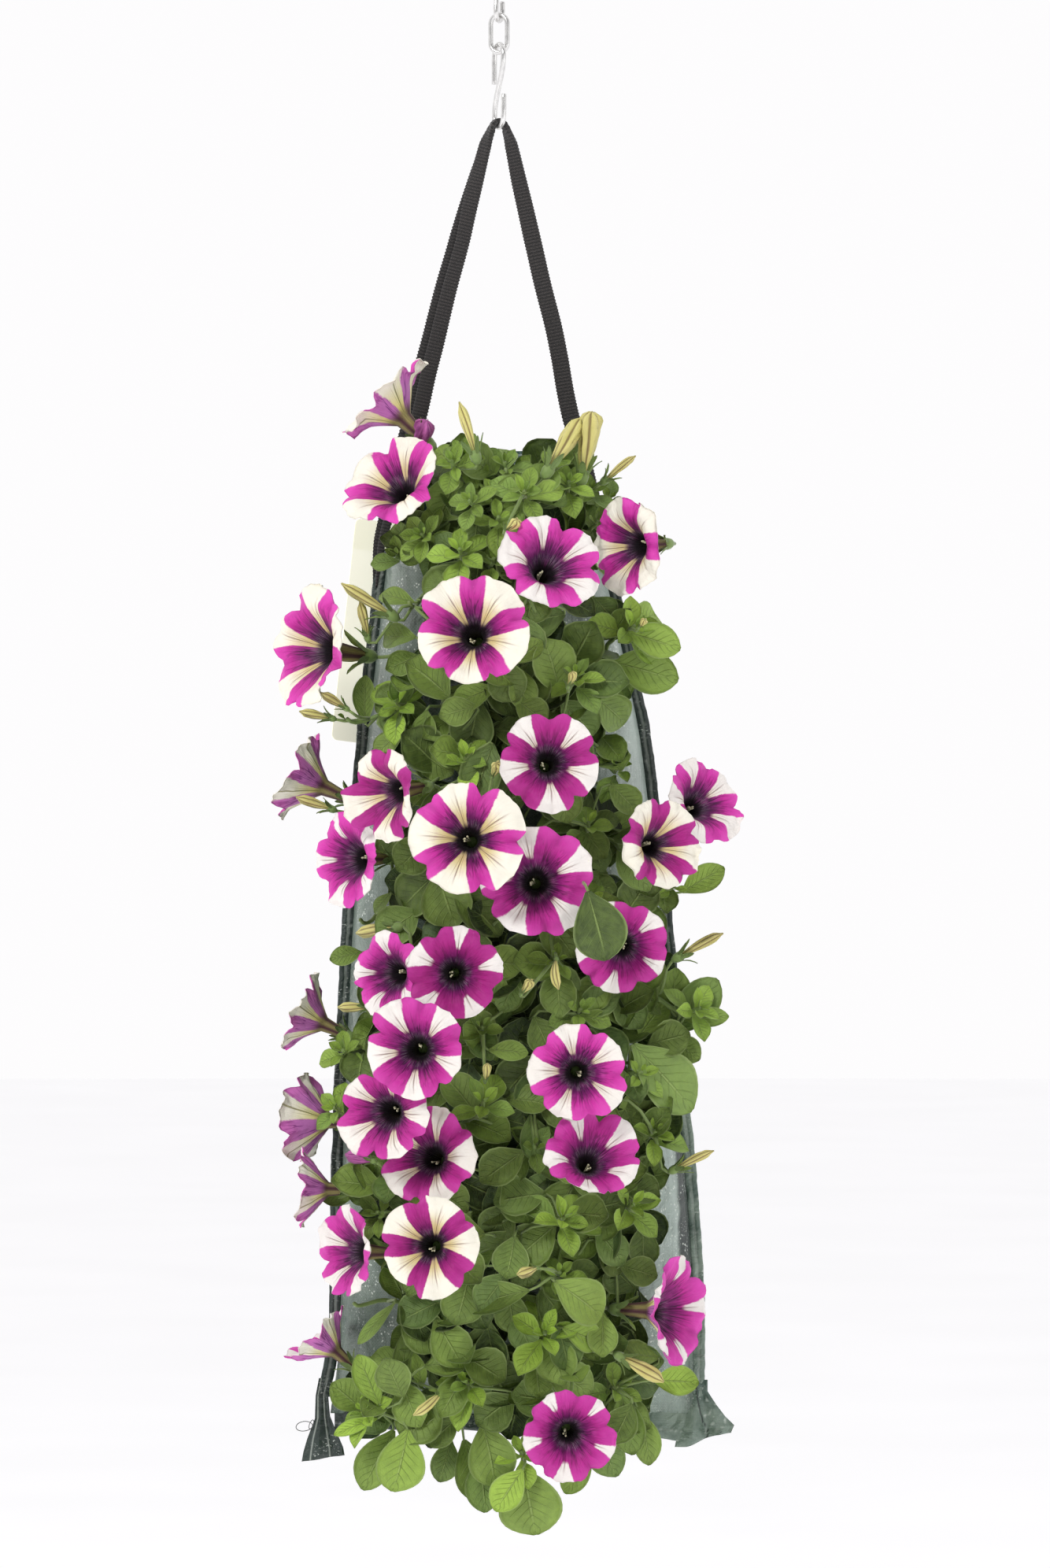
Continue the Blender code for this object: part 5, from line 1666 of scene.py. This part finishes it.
# Places below are in millimetres: x, z and how far in front of the bag.
# shoots: x, z, lift, length of the outer blades, number of blades, brightness, yellowness
SHOOTS = (
    (-8, -340, 20, 26, 9, 0.52, 0.15), (10, -338, 4, 27, 9, 0.5, 0.12),
    (-40, -345, 14, 25, 9, 0.5, 0.12), (30, -352, 12, 26, 9, 0.5, 0.12),
    (-2, -352, 34, 24, 9, 0.58, 0.22), (70, -352, 20, 20, 8, 0.5, 0.15),
    (-22, -327, 26, 23, 9, 0.62, 0.25), (4, -331, 20, 25, 9, 0.56, 0.2),
    (34, -334, 24, 22, 9, 0.6, 0.25), (-29, -331, 44, 24, 10, 0.6, 0.25),
    (-18, -356, 52, 21, 11, 0.55, 0.2), (16, -350, 50, 29, 10, 0.62, 0.2),
    (44, -343, 44, 23, 10, 0.66, 0.35), (58, -347, 36, 20, 8, 0.55, 0.2),
    (-48, -376, 50, 25, 12, 0.6, 0.25), (-64, -389, 40, 23, 10, 0.5, 0.15),
    (-24, -386, 58, 25, 10, 0.68, 0.4), (0, -366, 46, 20, 9, 0.6, 0.25),
    (62, -367, 38, 26, 9, 0.45, 0.1), (-3, -392, 46, 25, 9, 0.5, 0.15),
    (-56, -418, 40, 22, 10, 0.6, 0.25), (48, -464, 52, 26, 10, 0.62, 0.3),
    (85, -433, 52, 33, 9, 0.68, 0.35), (-64, -480, 50, 27, 10, 0.72, 0.5),
    (-95, -491, 50, 25, 10, 0.55, 0.2), (-20, -515, 50, 23, 10, 0.72, 0.5),
    (76, -520, 46, 27, 9, 0.66, 0.35), (56, -556, 52, 22, 8, 0.66, 0.35),
    (57, -604, 54, 20, 8, 0.64, 0.35), (-87, -617, 42, 19, 9, 0.6, 0.35),
    (36, -640, 52, 16, 7, 0.64, 0.35), (110, -596, 46, 17, 5, 0.6, 0.35),
    (51, -672, 52, 26, 9, 0.55, 0.2), (126, -672, 56, 25, 11, 0.72, 0.4),
    (-10, -683, 48, 25, 9, 0.5, 0.2), (-9, -728, 60, 28, 8, 0.66, 0.4),
    (89, -712, 52, 22, 8, 0.6, 0.3), (-98, -699, 42, 22, 10, 0.6, 0.3),
    (-103, -735, 44, 21, 10, 0.66, 0.4), (98, -749, 52, 27, 9, 0.66, 0.35),
    (-76, -800, 46, 23, 9, 0.52, 0.2), (41, -800, 62, 31, 11, 0.7, 0.4),
    (84, -794, 54, 32, 9, 0.66, 0.35), (23, -757, 42, 27, 8, 0.45, 0.1),
    (29, -873, 58, 31, 9, 0.74, 0.5), (-91, -858, 42, 23, 8, 0.64, 0.35),
    (-20, -906, 56, 28, 9, 0.7, 0.45), (75, -910, 50, 28, 9, 0.52, 0.2),
    (-85, -925, 50, 24, 9, 0.74, 0.5), (14, -951, 44, 22, 8, 0.72, 0.5),
    (38, -836, 50, 17, 8, 0.64, 0.35),
)
# single blades: base x, base z, tip x, tip z, lift, half width, brightness, yellowness
BLADES = (
    (70, -455, 113, -466, 46, 14.5, 0.6, 0.15), (80, -437, 114, -446, 54, 11.5, 0.64, 0.25),
    (-12, -955, -8, -990, 38, 12, 0.46, 0.12), (-2, -472, -30, -482, 44, 9, 0.55, 0.15),
    (-36, -458, -61, -468, 40, 9, 0.3, 0.05), (-52, -440, -77, -438, 34, 9, 0.45, 0.1),
    (-53, -418, -78, -410, 30, 7, 0.5, 0.15), (10, -457, 27, -442, 50, 7.5, 0.52, 0.15),
    (12, -459, 18, -486, 44, 9.5, 0.5, 0.15), (-12, -480, -20, -512, 36, 15, 0.28, 0.05),
    (-45, -486, -47, -507, 44, 8, 0.48, 0.1), (-58, -497, -83, -516, 44, 7.5, 0.5, 0.15),
    (-84, -494, -85, -464, 40, 7.5, 0.4, 0.1), (39, -480, 62, -503, 44, 12.5, 0.48, 0.1),
    (60, -477, 84, -496, 42, 12.5, 0.5, 0.12), (-36, -585, -65, -611, 44, 15, 0.26, 0.05),
    (-28, -596, 2, -624, 40, 14, 0.32, 0.05), (-67, -600, -81, -614, 40, 4.5, 0.45, 0.15),
    (55, -598, 68, -641, 96, 17.5, 0.22, 0), (90, -604, 101, -630, 40, 9.5, 0.5, 0.15),
    (115, -600, 141, -584, 40, 9, 0.6, 0.3), (-86, -638, -106, -641, 34, 6.5, 0.45, 0.15),
    (88, -690, 104, -667, 44, 11, 0.58, 0.1), (84, -695, 126, -737, 50, 18.5, 0.56, 0.08),
    (-6, -697, 18, -697, 54, 7, 0.56, 0.2), (25, -702, 2, -726, 36, 15, 0.24, 0.02),
    (20, -738, 25, -766, 42, 11, 0.4, 0.1), (-84, -702, -83, -676, 34, 7, 0.36, 0.05),
    (-71, -790, -97, -786, 44, 9.5, 0.45, 0.1), (-90, -790, -112, -791, 36, 8, 0.42, 0.1),
    (-70, -768, -90, -778, 40, 9, 0.44, 0.1), (70, -790, 52, -835, 36, 19, 0.26, 0.02),
    (76, -728, 82, -742, 36, 9, 0.34, 0.05), (8, -795, -8, -816, 36, 13, 0.3, 0.02),
    (14, -812, -14, -838, 40, 17, 0.32, 0.05), (62, -816, 82, -838, 40, 12, 0.36, 0.05),
    (19, -847, -23, -855, 56, 11, 0.44, 0.08), (-12, -848, -52, -866, 36, 14, 0.3, 0.02),
    (35, -841, 69, -864, 64, 15, 0.58, 0.12), (40, -871, 66, -881, 56, 10, 0.66, 0.35),
    (28, -893, 60, -915, 54, 13.5, 0.46, 0.1), (97, -906, 125, -906, 50, 10, 0.66, 0.45),
    (77, -915, 84, -953, 46, 11.5, 0.5, 0.15), (88, -926, 97, -960, 40, 9.5, 0.52, 0.15),
    (60, -938, 74, -968, 34, 12, 0.44, 0.1), (58, -952, 41, -978, 36, 9, 0.52, 0.15),
    (15, -962, 24, -1005, 42, 20.5, 0.52, 0.15), (15, -962, -3, -987, 50, 11, 0.72, 0.5),
    (-10, -934, 0, -973, 44, 16, 0.5, 0.12), (-22, -945, -9, -983, 34, 14, 0.46, 0.12),
    (-57, -937, -65, -977, 50, 16, 0.6, 0.35), (-66, -938, -87, -975, 42, 12.5, 0.52, 0.15),
    (-30, -945, -37, -971, 34, 9.5, 0.34, 0.05), (-26, -930, -45, -946, 46, 10, 0.34, 0.02),
    (-75, -921, -88, -890, 52, 9.5, 0.62, 0.35), (-86, -925, -104, -908, 42, 11, 0.52, 0.1),
    (-76, -930, -104, -938, 50, 5, 0.74, 0.6), (-62, -919, -58, -878, 40, 7.5, 0.42, 0.02),
    (-65, -857, -91, -884, 46, 4.5, 0.52, 0.15), (-31, -866, -29, -894, 40, 10.5, 0.4, 0.05),
    (-6, -868, -12, -904, 36, 17, 0.3, 0.02), (-48, -912, -51, -892, 44, 5, 0.58, 0.2),
    (80, -864, 82, -836, 48, 5.5, 0.52, 0.15), (55, -470, 47, -440, 22, 15, 0.22, 0.02),
    (35, -440, 20, -475, 20, 16, 0.22, 0.02), (5, -338, 10, -362, 34, 12, 0.48, 0.1),
    (22, -352, 33, -332, 40, 11, 0.52, 0.1), (-5, -352, 18, -340, 42, 6, 0.5, 0.1),
    (26, -356, 45, -352, 46, 6.5, 0.58, 0.15), (40, -356, 18, -346, 30, 10, 0.4, 0.05),
    (76, -405, 66, -380, 30, 10, 0.35, 0.05), (60, -415, 72, -428, 40, 9, 0.38, 0.1),
    (108, -690, 138, -654, 44, 13, 0.56, 0.15), (106, -688, 112, -648, 40, 12, 0.5, 0.12),
    (116, -680, 144, -676, 50, 6.5, 0.62, 0.2), (108, -692, 126, -704, 48, 9, 0.46, 0.1),
    (-68, -560, -50, -545, 30, 9, 0.38, 0.1),
)
# buds and spent flowers: base x, base z, tip x, tip z, lift, half thickness, brownness, curl, purple
BUDS = (
    (-14, -329, -25, -293, 40, 2.8, 0.15, 0.1, 0), (30, -338, 51, -303, 42, 4.6, 0.2, 0.05, 0),
    (52, -341, 58, -299, 46, 5.8, 0.25, 0.05, 0), (66, -342, 86, -326, 36, 2.2, 0.45, 0.1, 0),
    (4, -376, 10, -363, 66, 3, 0.1, 1.1, 0), (-66, -427, -98, -404, 56, 3.2, 0.25, 0.15, 0),
    (-82, -441, -87, -417, 50, 2.6, 0.35, 0.05, 0), (43, -472, 44, -458, 64, 2.4, 0.2, 1, 0),
    (-95, -485, -111, -474, 58, 2.6, 0.75, 0.1, 0),
    (-104, -491, -125, -485, 46, 2.6, 0.25, 0.15, 0),
    (-104, -548, -127, -539, 46, 2.8, 0.35, 0.1, 0), (-4, -528, -3, -515, 66, 3.2, 0.1, 1.1, 0),
    (-62, -621, -89, -624, 54, 3.6, 0.2, 0.1, 0), (112, -641, 141, -625, 46, 2.8, 0.45, 0.1, 0),
    (36, -640, 39, -655, 62, 2.6, 0.15, 0.9, 0), (14, -662, 18, -649, 60, 2.8, 0.1, 1, 0),
    (-80, -672, -101, -671, 44, 2.8, 0.15, 0.1, 0), (-8, -716, -7, -704, 56, 2.4, 0, 0.2, 0),
    (109, -774, 135, -761, 52, 2.4, 0.4, 0.1, 0), (24, -832, 11, -830, 66, 3, 0.25, 0.9, 0),
    (-78, -768, -96, -763, 52, 3.6, 0.1, 0.1, 1), (-58, -334, -46, -302, 12, 5.2, 0, 0.15, 1),
    (-35, -912, -55, -918, 60, 2.8, 0.1, 0.9, 0), (75, -889, 103, -905, 62, 4, 0.2, 0.1, 0),
    (88, -434, 91, -428, 66, 2, 0.15, 0.6, 0),
)
PLANT_NODES = [name for name in NODES if name.startswith("petunia_")]
STEM_FOOT, STALK_FOOT = 0.0019, 0.0013  # radii where a stem leaves its root, and a stalk its stem
STEM_SWAY, STEM_OFF = 0.006, 0.004  # a stem's bends, and how far it keeps off the cloth
STALK_LEAST, STALK_MOST = 0.018, 0.045  # how far away the stem may be that a stalk comes from


class Petunia:
    """One plant: its stems, shoots, blades, buds, and the stalks of its blooms."""

    def __init__(self, node):
        self.node = node
        self.rng = random.Random(len(node) * 131 + sum(ord(c) for c in node))
        if node in SLITS:
            x, z = SLITS[node]
            self.root = Vector((x, BAG.front_y(x, z) + 0.004, z))
            self.out = Vector((0.0, -1.0, 0.18))
        else:
            _, soil_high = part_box("potting_soil")
            self.root = Vector((-0.026 if "left" in node else 0.030, -0.012, soil_high.z - 0.004))
            self.out = Vector((0.0, -0.35, 0.9))
        self.piece = Piece(node + "_plant")
        self.stems = []

    def stem(self, end, arrive, thick=STALK_FOOT):
        """A shoot from the root to a point, with small bends."""
        rng = self.rng
        start = self.root + Vector((rng.uniform(-1, 1) * 0.004, 0.004, rng.uniform(-1, 1) * 0.003))
        out = self.out + Vector((rng.uniform(-0.3, 0.3), 0, rng.uniform(-0.3, 0.3)))
        path = stem_path(start, out, end, arrive)
        own = rng.random() * 9
        last = len(path) - 1
        for i, at in enumerate(path):
            hold = math.sin(math.pi * i / last)
            at.x += wobble(i * 0.22, own) * STEM_SWAY * hold
            at.z += wobble(i * 0.22, own, 5.0) * STEM_SWAY * hold
            if BAG.low < at.z < BAG.front_top and i > 2 and abs(BAG.u_of(at.x, at.z)) < 1:
                at.y = min(at.y, BAG.front_y(at.x, at.z) - STEM_OFF)
        radii = [STEM_FOOT + (thick - STEM_FOOT) * (i / last) ** 0.7 for i in range(len(path))]
        tone = (rng.uniform(0.3, 0.8), rng.uniform(0, 0.25), 0)
        tube(self.piece, path, radii, sides=7, kind=1, tone=tone)
        self.stems.append(path)
        return path

    def side_blades(self, path, first, last, every, bright):
        """Alternate blades along a stretch of a stem."""
        rng = self.rng
        count = len(path)
        turn = rng.uniform(0, 6.28)
        share = first
        while share < last:
            i = min(int(share * (count - 1)), count - 2)
            share += every
            along = (path[i + 1] - path[i]).normalized()
            turn += GOLDEN_ANGLE
            side = along.orthogonal().normalized()
            other = along.cross(side)
            out = spoke(side, other, turn)
            if out.y > 0.35:
                out.y = -out.y
            direction = (out + along * 0.35 + UP * rng.uniform(-0.25, 0.15)).normalized()
            facing = squared(FRONT * 0.85 + UP * 0.50 + along * 0.2, direction)
            long = rng.uniform(0.022, 0.036)
            end = path[i] + direction * long
            if abs(BAG.u_of(end.x, max(end.z, BAG.low + 0.01))) > 1.12 or end.z < BAG.low - 0.01:
                continue
            try_leaf(self.piece, path[i], direction, facing, long, long * rng.uniform(0.30, 0.40),
                     bright * rng.uniform(0.7, 1.3), rng.uniform(0.0, 0.2), rng,
                     droop=rng.uniform(0.1, 0.8), fold=rng.uniform(0.15, 0.45),
                     twist=rng.uniform(-0.4, 0.4))

    def stalk(self, base, arrive, thick=0.0010):
        """A stalk to a point from the nearest stem, or from out of the leaves behind it."""
        near = None
        for path in self.stems:
            for i in range(3, len(path) - 1):
                far = (path[i] - base).length
                if far >= STALK_LEAST and (near is None or far < near[0]):
                    near = (far, path[i], (path[i + 1] - path[i]).normalized())
        if near is None or near[0] > STALK_MOST:
            back = Vector((0.0, 0.020, -0.004))
            near = (0.0, base - arrive * 0.012 + back, arrive * 0.5 - back.normalized())
        _, start, along = near
        path = stem_path(start, along + arrive * 0.6, base, arrive, count=5)
        radii = [STALK_FOOT + (thick - STALK_FOOT) * k / 4 for k in range(5)]
        tube(self.piece, path, radii, sides=5, kind=1, tone=(0.6, 0.1, 0))


def spot(x, z, lift):
    """A place in front of the bag, from millimetres."""
    x, z = x / 1000, z / 1000
    edge = abs(BAG.u_of(x, max(z, BAG.low + 0.002)))
    base = BAG.front_y(min(max(x, BAG.at(z, 1)), BAG.at(z, 2)), z)
    if edge > 0.75 or z < BAG.low + 0.02:
        base = min(base, BAG.seam - 0.030)
    return Vector((x, base - lift / 1000, z))


def outward(x, lean=0.0):
    """The way a shoot's tip faces: to the front, a little up, and aside near the bag's edges."""
    aside = (x - 0.010) / 0.11
    return Vector((0.45 * aside + lean, -0.88, 0.42)).normalized()


UPHILL = 0.020  # how much nearer another plant may be to a place above a root in a slit


def nearest_plant(plants, at):
    """The plant with the nearest root, seen from the front. Those in slits seldom grow up."""
    def cost(plant):
        offset = at - plant.root
        uphill = UPHILL if offset.z > 0 and "top" not in plant.node else 0.0
        return math.hypot(offset.x, offset.z) + uphill

    return min(plants, key=cost)


def grow_blooms(plants):
    """A stem and a calyx for each bloom, with blades along the stem."""
    for bloom in BLOOMS:
        plant = nearest_plant(plants, bloom.base)
        path = plant.stem(bloom.base, bloom.facing, thick=0.0011)
        calyx(plant.piece, bloom.base, bloom.facing, bloom.radius, plant.rng)
        plant.side_blades(path, 0.45, 0.86, 0.20, 0.42)


def grow_shoots(plants, rng):
    """A stem for each shoot that is read off the photo, with a rosette at its tip."""
    for x, z, lift, size, count, bright, yellow in SHOOTS:
        at = spot(x, z, lift)
        axis = outward(at.x, rng.uniform(-0.2, 0.2)) + UP * rng.uniform(-0.1, 0.3)
        plant = nearest_plant(plants, at)
        path = plant.stem(at, axis)
        rosette(plant.piece, at, axis, size / 1000, count, bright, yellow, plant.rng)
        plant.side_blades(path, 0.35, 0.90, 0.14, bright * 0.62)


IN_FRONT = 80  # lift in millimetres from which a blade hangs in front of the blooms


def grow_blades(plants, rng):
    """The single blades that are read off the photo, moved until they are out of the blooms."""
    for bx, bz, tx, tz, lift, half, bright, yellow in BLADES:
        base, tip = spot(bx, bz, lift - 4), spot(tx, tz, lift + 3)
        plant = nearest_plant(plants, base)
        for _ in range(5):
            direction = tip - base
            facing = FRONT + UP * 0.30 + Vector((rng.uniform(-0.2, 0.2), 0, 0))
            facing = squared(facing, direction.normalized())
            own = rng.random()
            shape = leaf_shape(base, direction, facing, direction.length, half / 1000, own=own,
                               droop=rng.uniform(0.35, 0.65), fold=rng.uniform(0.20, 0.45),
                               twist=rng.uniform(-0.3, 0.3))
            rows = np.array([tuple(p) for p in shape[0]])
            if not any(bloom.holds(rows) for bloom in BLOOMS):
                break
            shift = FRONT * (0.006 if lift > IN_FRONT else -0.006)
            base, tip = base + shift, tip + shift
        add_leaf(plant.piece, shape, bright, yellow, own, kept=(13, 9))
        plant.stalk(base, direction.normalized(), thick=0.0008)


def grow_buds(plants):
    """The buds and the spent flowers that are read off the photo, each with its stalk."""
    for bx, bz, tx, tz, lift, half, brown, curl, is_purple in BUDS:
        base, tip = spot(bx, bz, lift), spot(tx, tz, lift + 4)
        plant = nearest_plant(plants, base)
        axis = tip - base
        kind = 3 if is_purple else 2
        bud(plant.piece, base, axis, axis.length, half / 1000, plant.rng, brown, curl, kind)
        plant.stalk(base - axis.normalized() * axis.length * 0.1, axis.normalized())


# leaves that fill the gaps: spacing, least and most lift in millimetres, least and most brightness.
# The deeper layers are painted darker, as shade among the leaves.
LAYERS = ((19, 8, 20, 0.00, 0.25), (21, 20, 34, 0.12, 0.42), (25, 34, 48, 0.30, 0.55))
# where they are, in millimetres: left edge, top, width, height, and the lowest that one may be
FILL_LEFT, FILL_TOP, FILL_WIDE, FILL_TALL, FILL_LOW = -98, -342, 220, 600, -930
FILL_EDGE = 0.84  # how far out on the bag they go


def fill_leaves(plants, rng, step, low, high, dim, lit):
    """A layer of leaves over the whole front, where the blooms and the bare places allow it."""
    for row in range(int(FILL_TALL / step) + 1):
        for column in range(int(FILL_WIDE / step) + 1):
            x = FILL_LEFT + (column + (0.5 if row % 2 else 0)) * step + rng.uniform(-6, 6)
            z = FILL_TOP - row * step * 1.1 + rng.uniform(-6, 6)
            if z < FILL_LOW or abs(BAG.u_of(x / 1000, z / 1000)) > FILL_EDGE:
                continue
            lift = rng.uniform(low, high)
            if z > BAG.front_top * 1000:
                lift -= rng.uniform(10, 55)
            at = spot(x, z, lift)
            plant = nearest_plant(plants, at)
            turn = rng.uniform(0, 2 * math.pi)
            direction = Vector((math.cos(turn), -0.30, math.sin(turn) * 0.8 - 0.3)).normalized()
            facing = FRONT + UP * rng.uniform(0.1, 0.8) + Vector((rng.uniform(-0.4, 0.4), 0, 0))
            facing = squared(facing, direction)
            long = rng.uniform(0.024, 0.037)
            grown = try_leaf(plant.piece, at, direction, facing, long, long * rng.uniform(0.36, 0.46),
                             rng.uniform(dim, lit), rng.uniform(0, 0.15), rng, tries=2,
                             droop=rng.uniform(0.1, 0.6), fold=rng.uniform(0.1, 0.4))
            if grown:
                plant.stalk(at, direction, thick=0.0007)


def grow(*materials):
    """The twelve plants. The materials are those of leaf, stem, bud and purple bud."""
    plants = [Petunia(node) for node in PLANT_NODES]
    rng = random.Random(2)
    grow_blooms(plants)
    grow_shoots(plants, rng)
    grow_blades(plants, rng)
    grow_buds(plants)
    for layer in LAYERS:
        fill_leaves(plants, rng, *layer)
    for plant in plants:
        plant.piece.finish(list(materials), "petunia_leaf", plant.node)


# ---- camera, floor and light ----


SENSOR = 36.0
CAMERA_FAR = 4.5
FRAME_TALL = 0.996  # how much of the object's height the picture shows, in metres
FRAME_MIDDLE = (0.0165, -0.532)
FLOOR_REACH, FLOOR_Z = 14.0, -1.30
LAMP_AIM = Vector((0.0, 0.0, -0.55))
# place, diameter and watts of each lamp
LAMPS = {
    "key": ((-1.3, -2.4, 1.3), 1.0, 48.0),
    "fill": ((1.9, -2.2, -0.3), 1.4, 7.0),
}


def set_camera():
    """A level camera far in front, whose frame is that of the photo."""
    data = bpy.data.cameras.new("camera")
    data.sensor_width = SENSOR
    data.lens = SENSOR * CAMERA_FAR / FRAME_TALL
    camera = bpy.data.objects.new("camera", data)
    camera.location = (FRAME_MIDDLE[0], -CAMERA_FAR, FRAME_MIDDLE[1])
    camera.rotation_euler = (math.radians(90), 0.0, 0.0)
    bpy.context.scene.collection.objects.link(camera)
    bpy.context.scene.camera = camera


def set_floor():
    """A wide pale disc below the basket."""
    g = Graph("pale_floor", Roughness=0.9, Emission_Color=(1.0, 0.99, 1.0), Emission_Strength=0.30)
    grain = g.noise(g.here(), 3, 2)
    g.set("Base Color", g.ramp(grain, (0.3, (0.80, 0.80, 0.81)), (0.7, (0.83, 0.83, 0.84))))
    mesh = bpy.data.meshes.new("floor")
    sides = 64
    turns = [2 * math.pi * i / sides for i in range(sides)]
    verts = [(FLOOR_REACH * math.cos(turn), FLOOR_REACH * math.sin(turn), FLOOR_Z) for turn in turns]
    mesh.from_pydata(verts, [], [tuple(range(sides))])
    mesh.materials.append(g.mat)
    floor = bpy.data.objects.new("floor", mesh)
    bpy.context.scene.collection.objects.link(floor)


def set_world():
    """A pale studio, bright behind the basket and dim on the camera's side."""
    world = bpy.data.worlds.new("studio")
    world.use_nodes = True
    tree = world.node_tree
    shader = tree.nodes["Background"]
    coords = tree.nodes.new("ShaderNodeTexCoord")
    split = tree.nodes.new("ShaderNodeSeparateXYZ")
    tree.links.new(coords.outputs["Generated"], split.inputs[0])
    ramp = tree.nodes.new("ShaderNodeMapRange")
    ramp.interpolation_type = "SMOOTHSTEP"
    # the least and most of what goes in, and of what comes out
    for i, value in enumerate((-0.62, -0.05, 0.28, 0.985), start=1):
        ramp.inputs[i].default_value = value
    tree.links.new(split.outputs[1], ramp.inputs[0])
    tree.links.new(ramp.outputs[0], shader.inputs["Strength"])
    shader.inputs["Color"].default_value = (1.0, 0.992, 1.0, 1.0)
    bpy.context.scene.world = world


def set_lamps():
    """Two round lamps in front, aimed at the middle of the bag."""
    for name, (place, size, power) in LAMPS.items():
        light = bpy.data.lights.new(name, "AREA")
        light.shape = "DISK"
        light.size = size
        light.energy = power
        lamp = bpy.data.objects.new(name, light)
        lamp.location = place
        lamp.rotation_euler = (LAMP_AIM - Vector(place)).to_track_quat("-Z", "Y").to_euler()
        bpy.context.scene.collection.objects.link(lamp)


# ---- the whole object ----


def make_bag():
    """The two cloths, the hems that close them, and the brim."""
    front = woven_material("woven_front", srgb(60, 80, 70), srgb(154, 170, 156), 0.45,
                           light_through_share=0.62, glints=1.6)
    # the back and the hems are darker copies of the front's cloth, painted darker as the shade they sit
    # in
    back = woven_material("woven_back", srgb(18, 52, 46), srgb(46, 92, 80), 0.35)
    edge = woven_material("woven_hem", srgb(12, 29, 25), srgb(42, 62, 54), 0.40, lower_right_grey=0.85)
    brim_piece = brim(front)
    joined = [brim_piece, side_hem(-1, edge), side_hem(1, edge)]
    joined.append(bottom_hem(edge, thread_material()))
    cloth_panel("bag_front_cloth", -1, front, "bag_front_panel")
    cloth_panel("bag_back_cloth", 1, back, "bag_back_panel")


hooks(zinc_material())
carrying_strap(webbing_material())
make_bag()
potting_soil(soil_material())
label_card(card_material())
petal, anther = petal_material(), anther_material()
for bloom in BLOOMS:
    corolla(bloom, petal, anther)
grow(leaf_material(), stem_material(), bud_material(), purple_bud_material())
set_camera()
set_floor()
set_world()
set_lamps()
bpy.context.scene.view_settings.view_transform = "Standard"
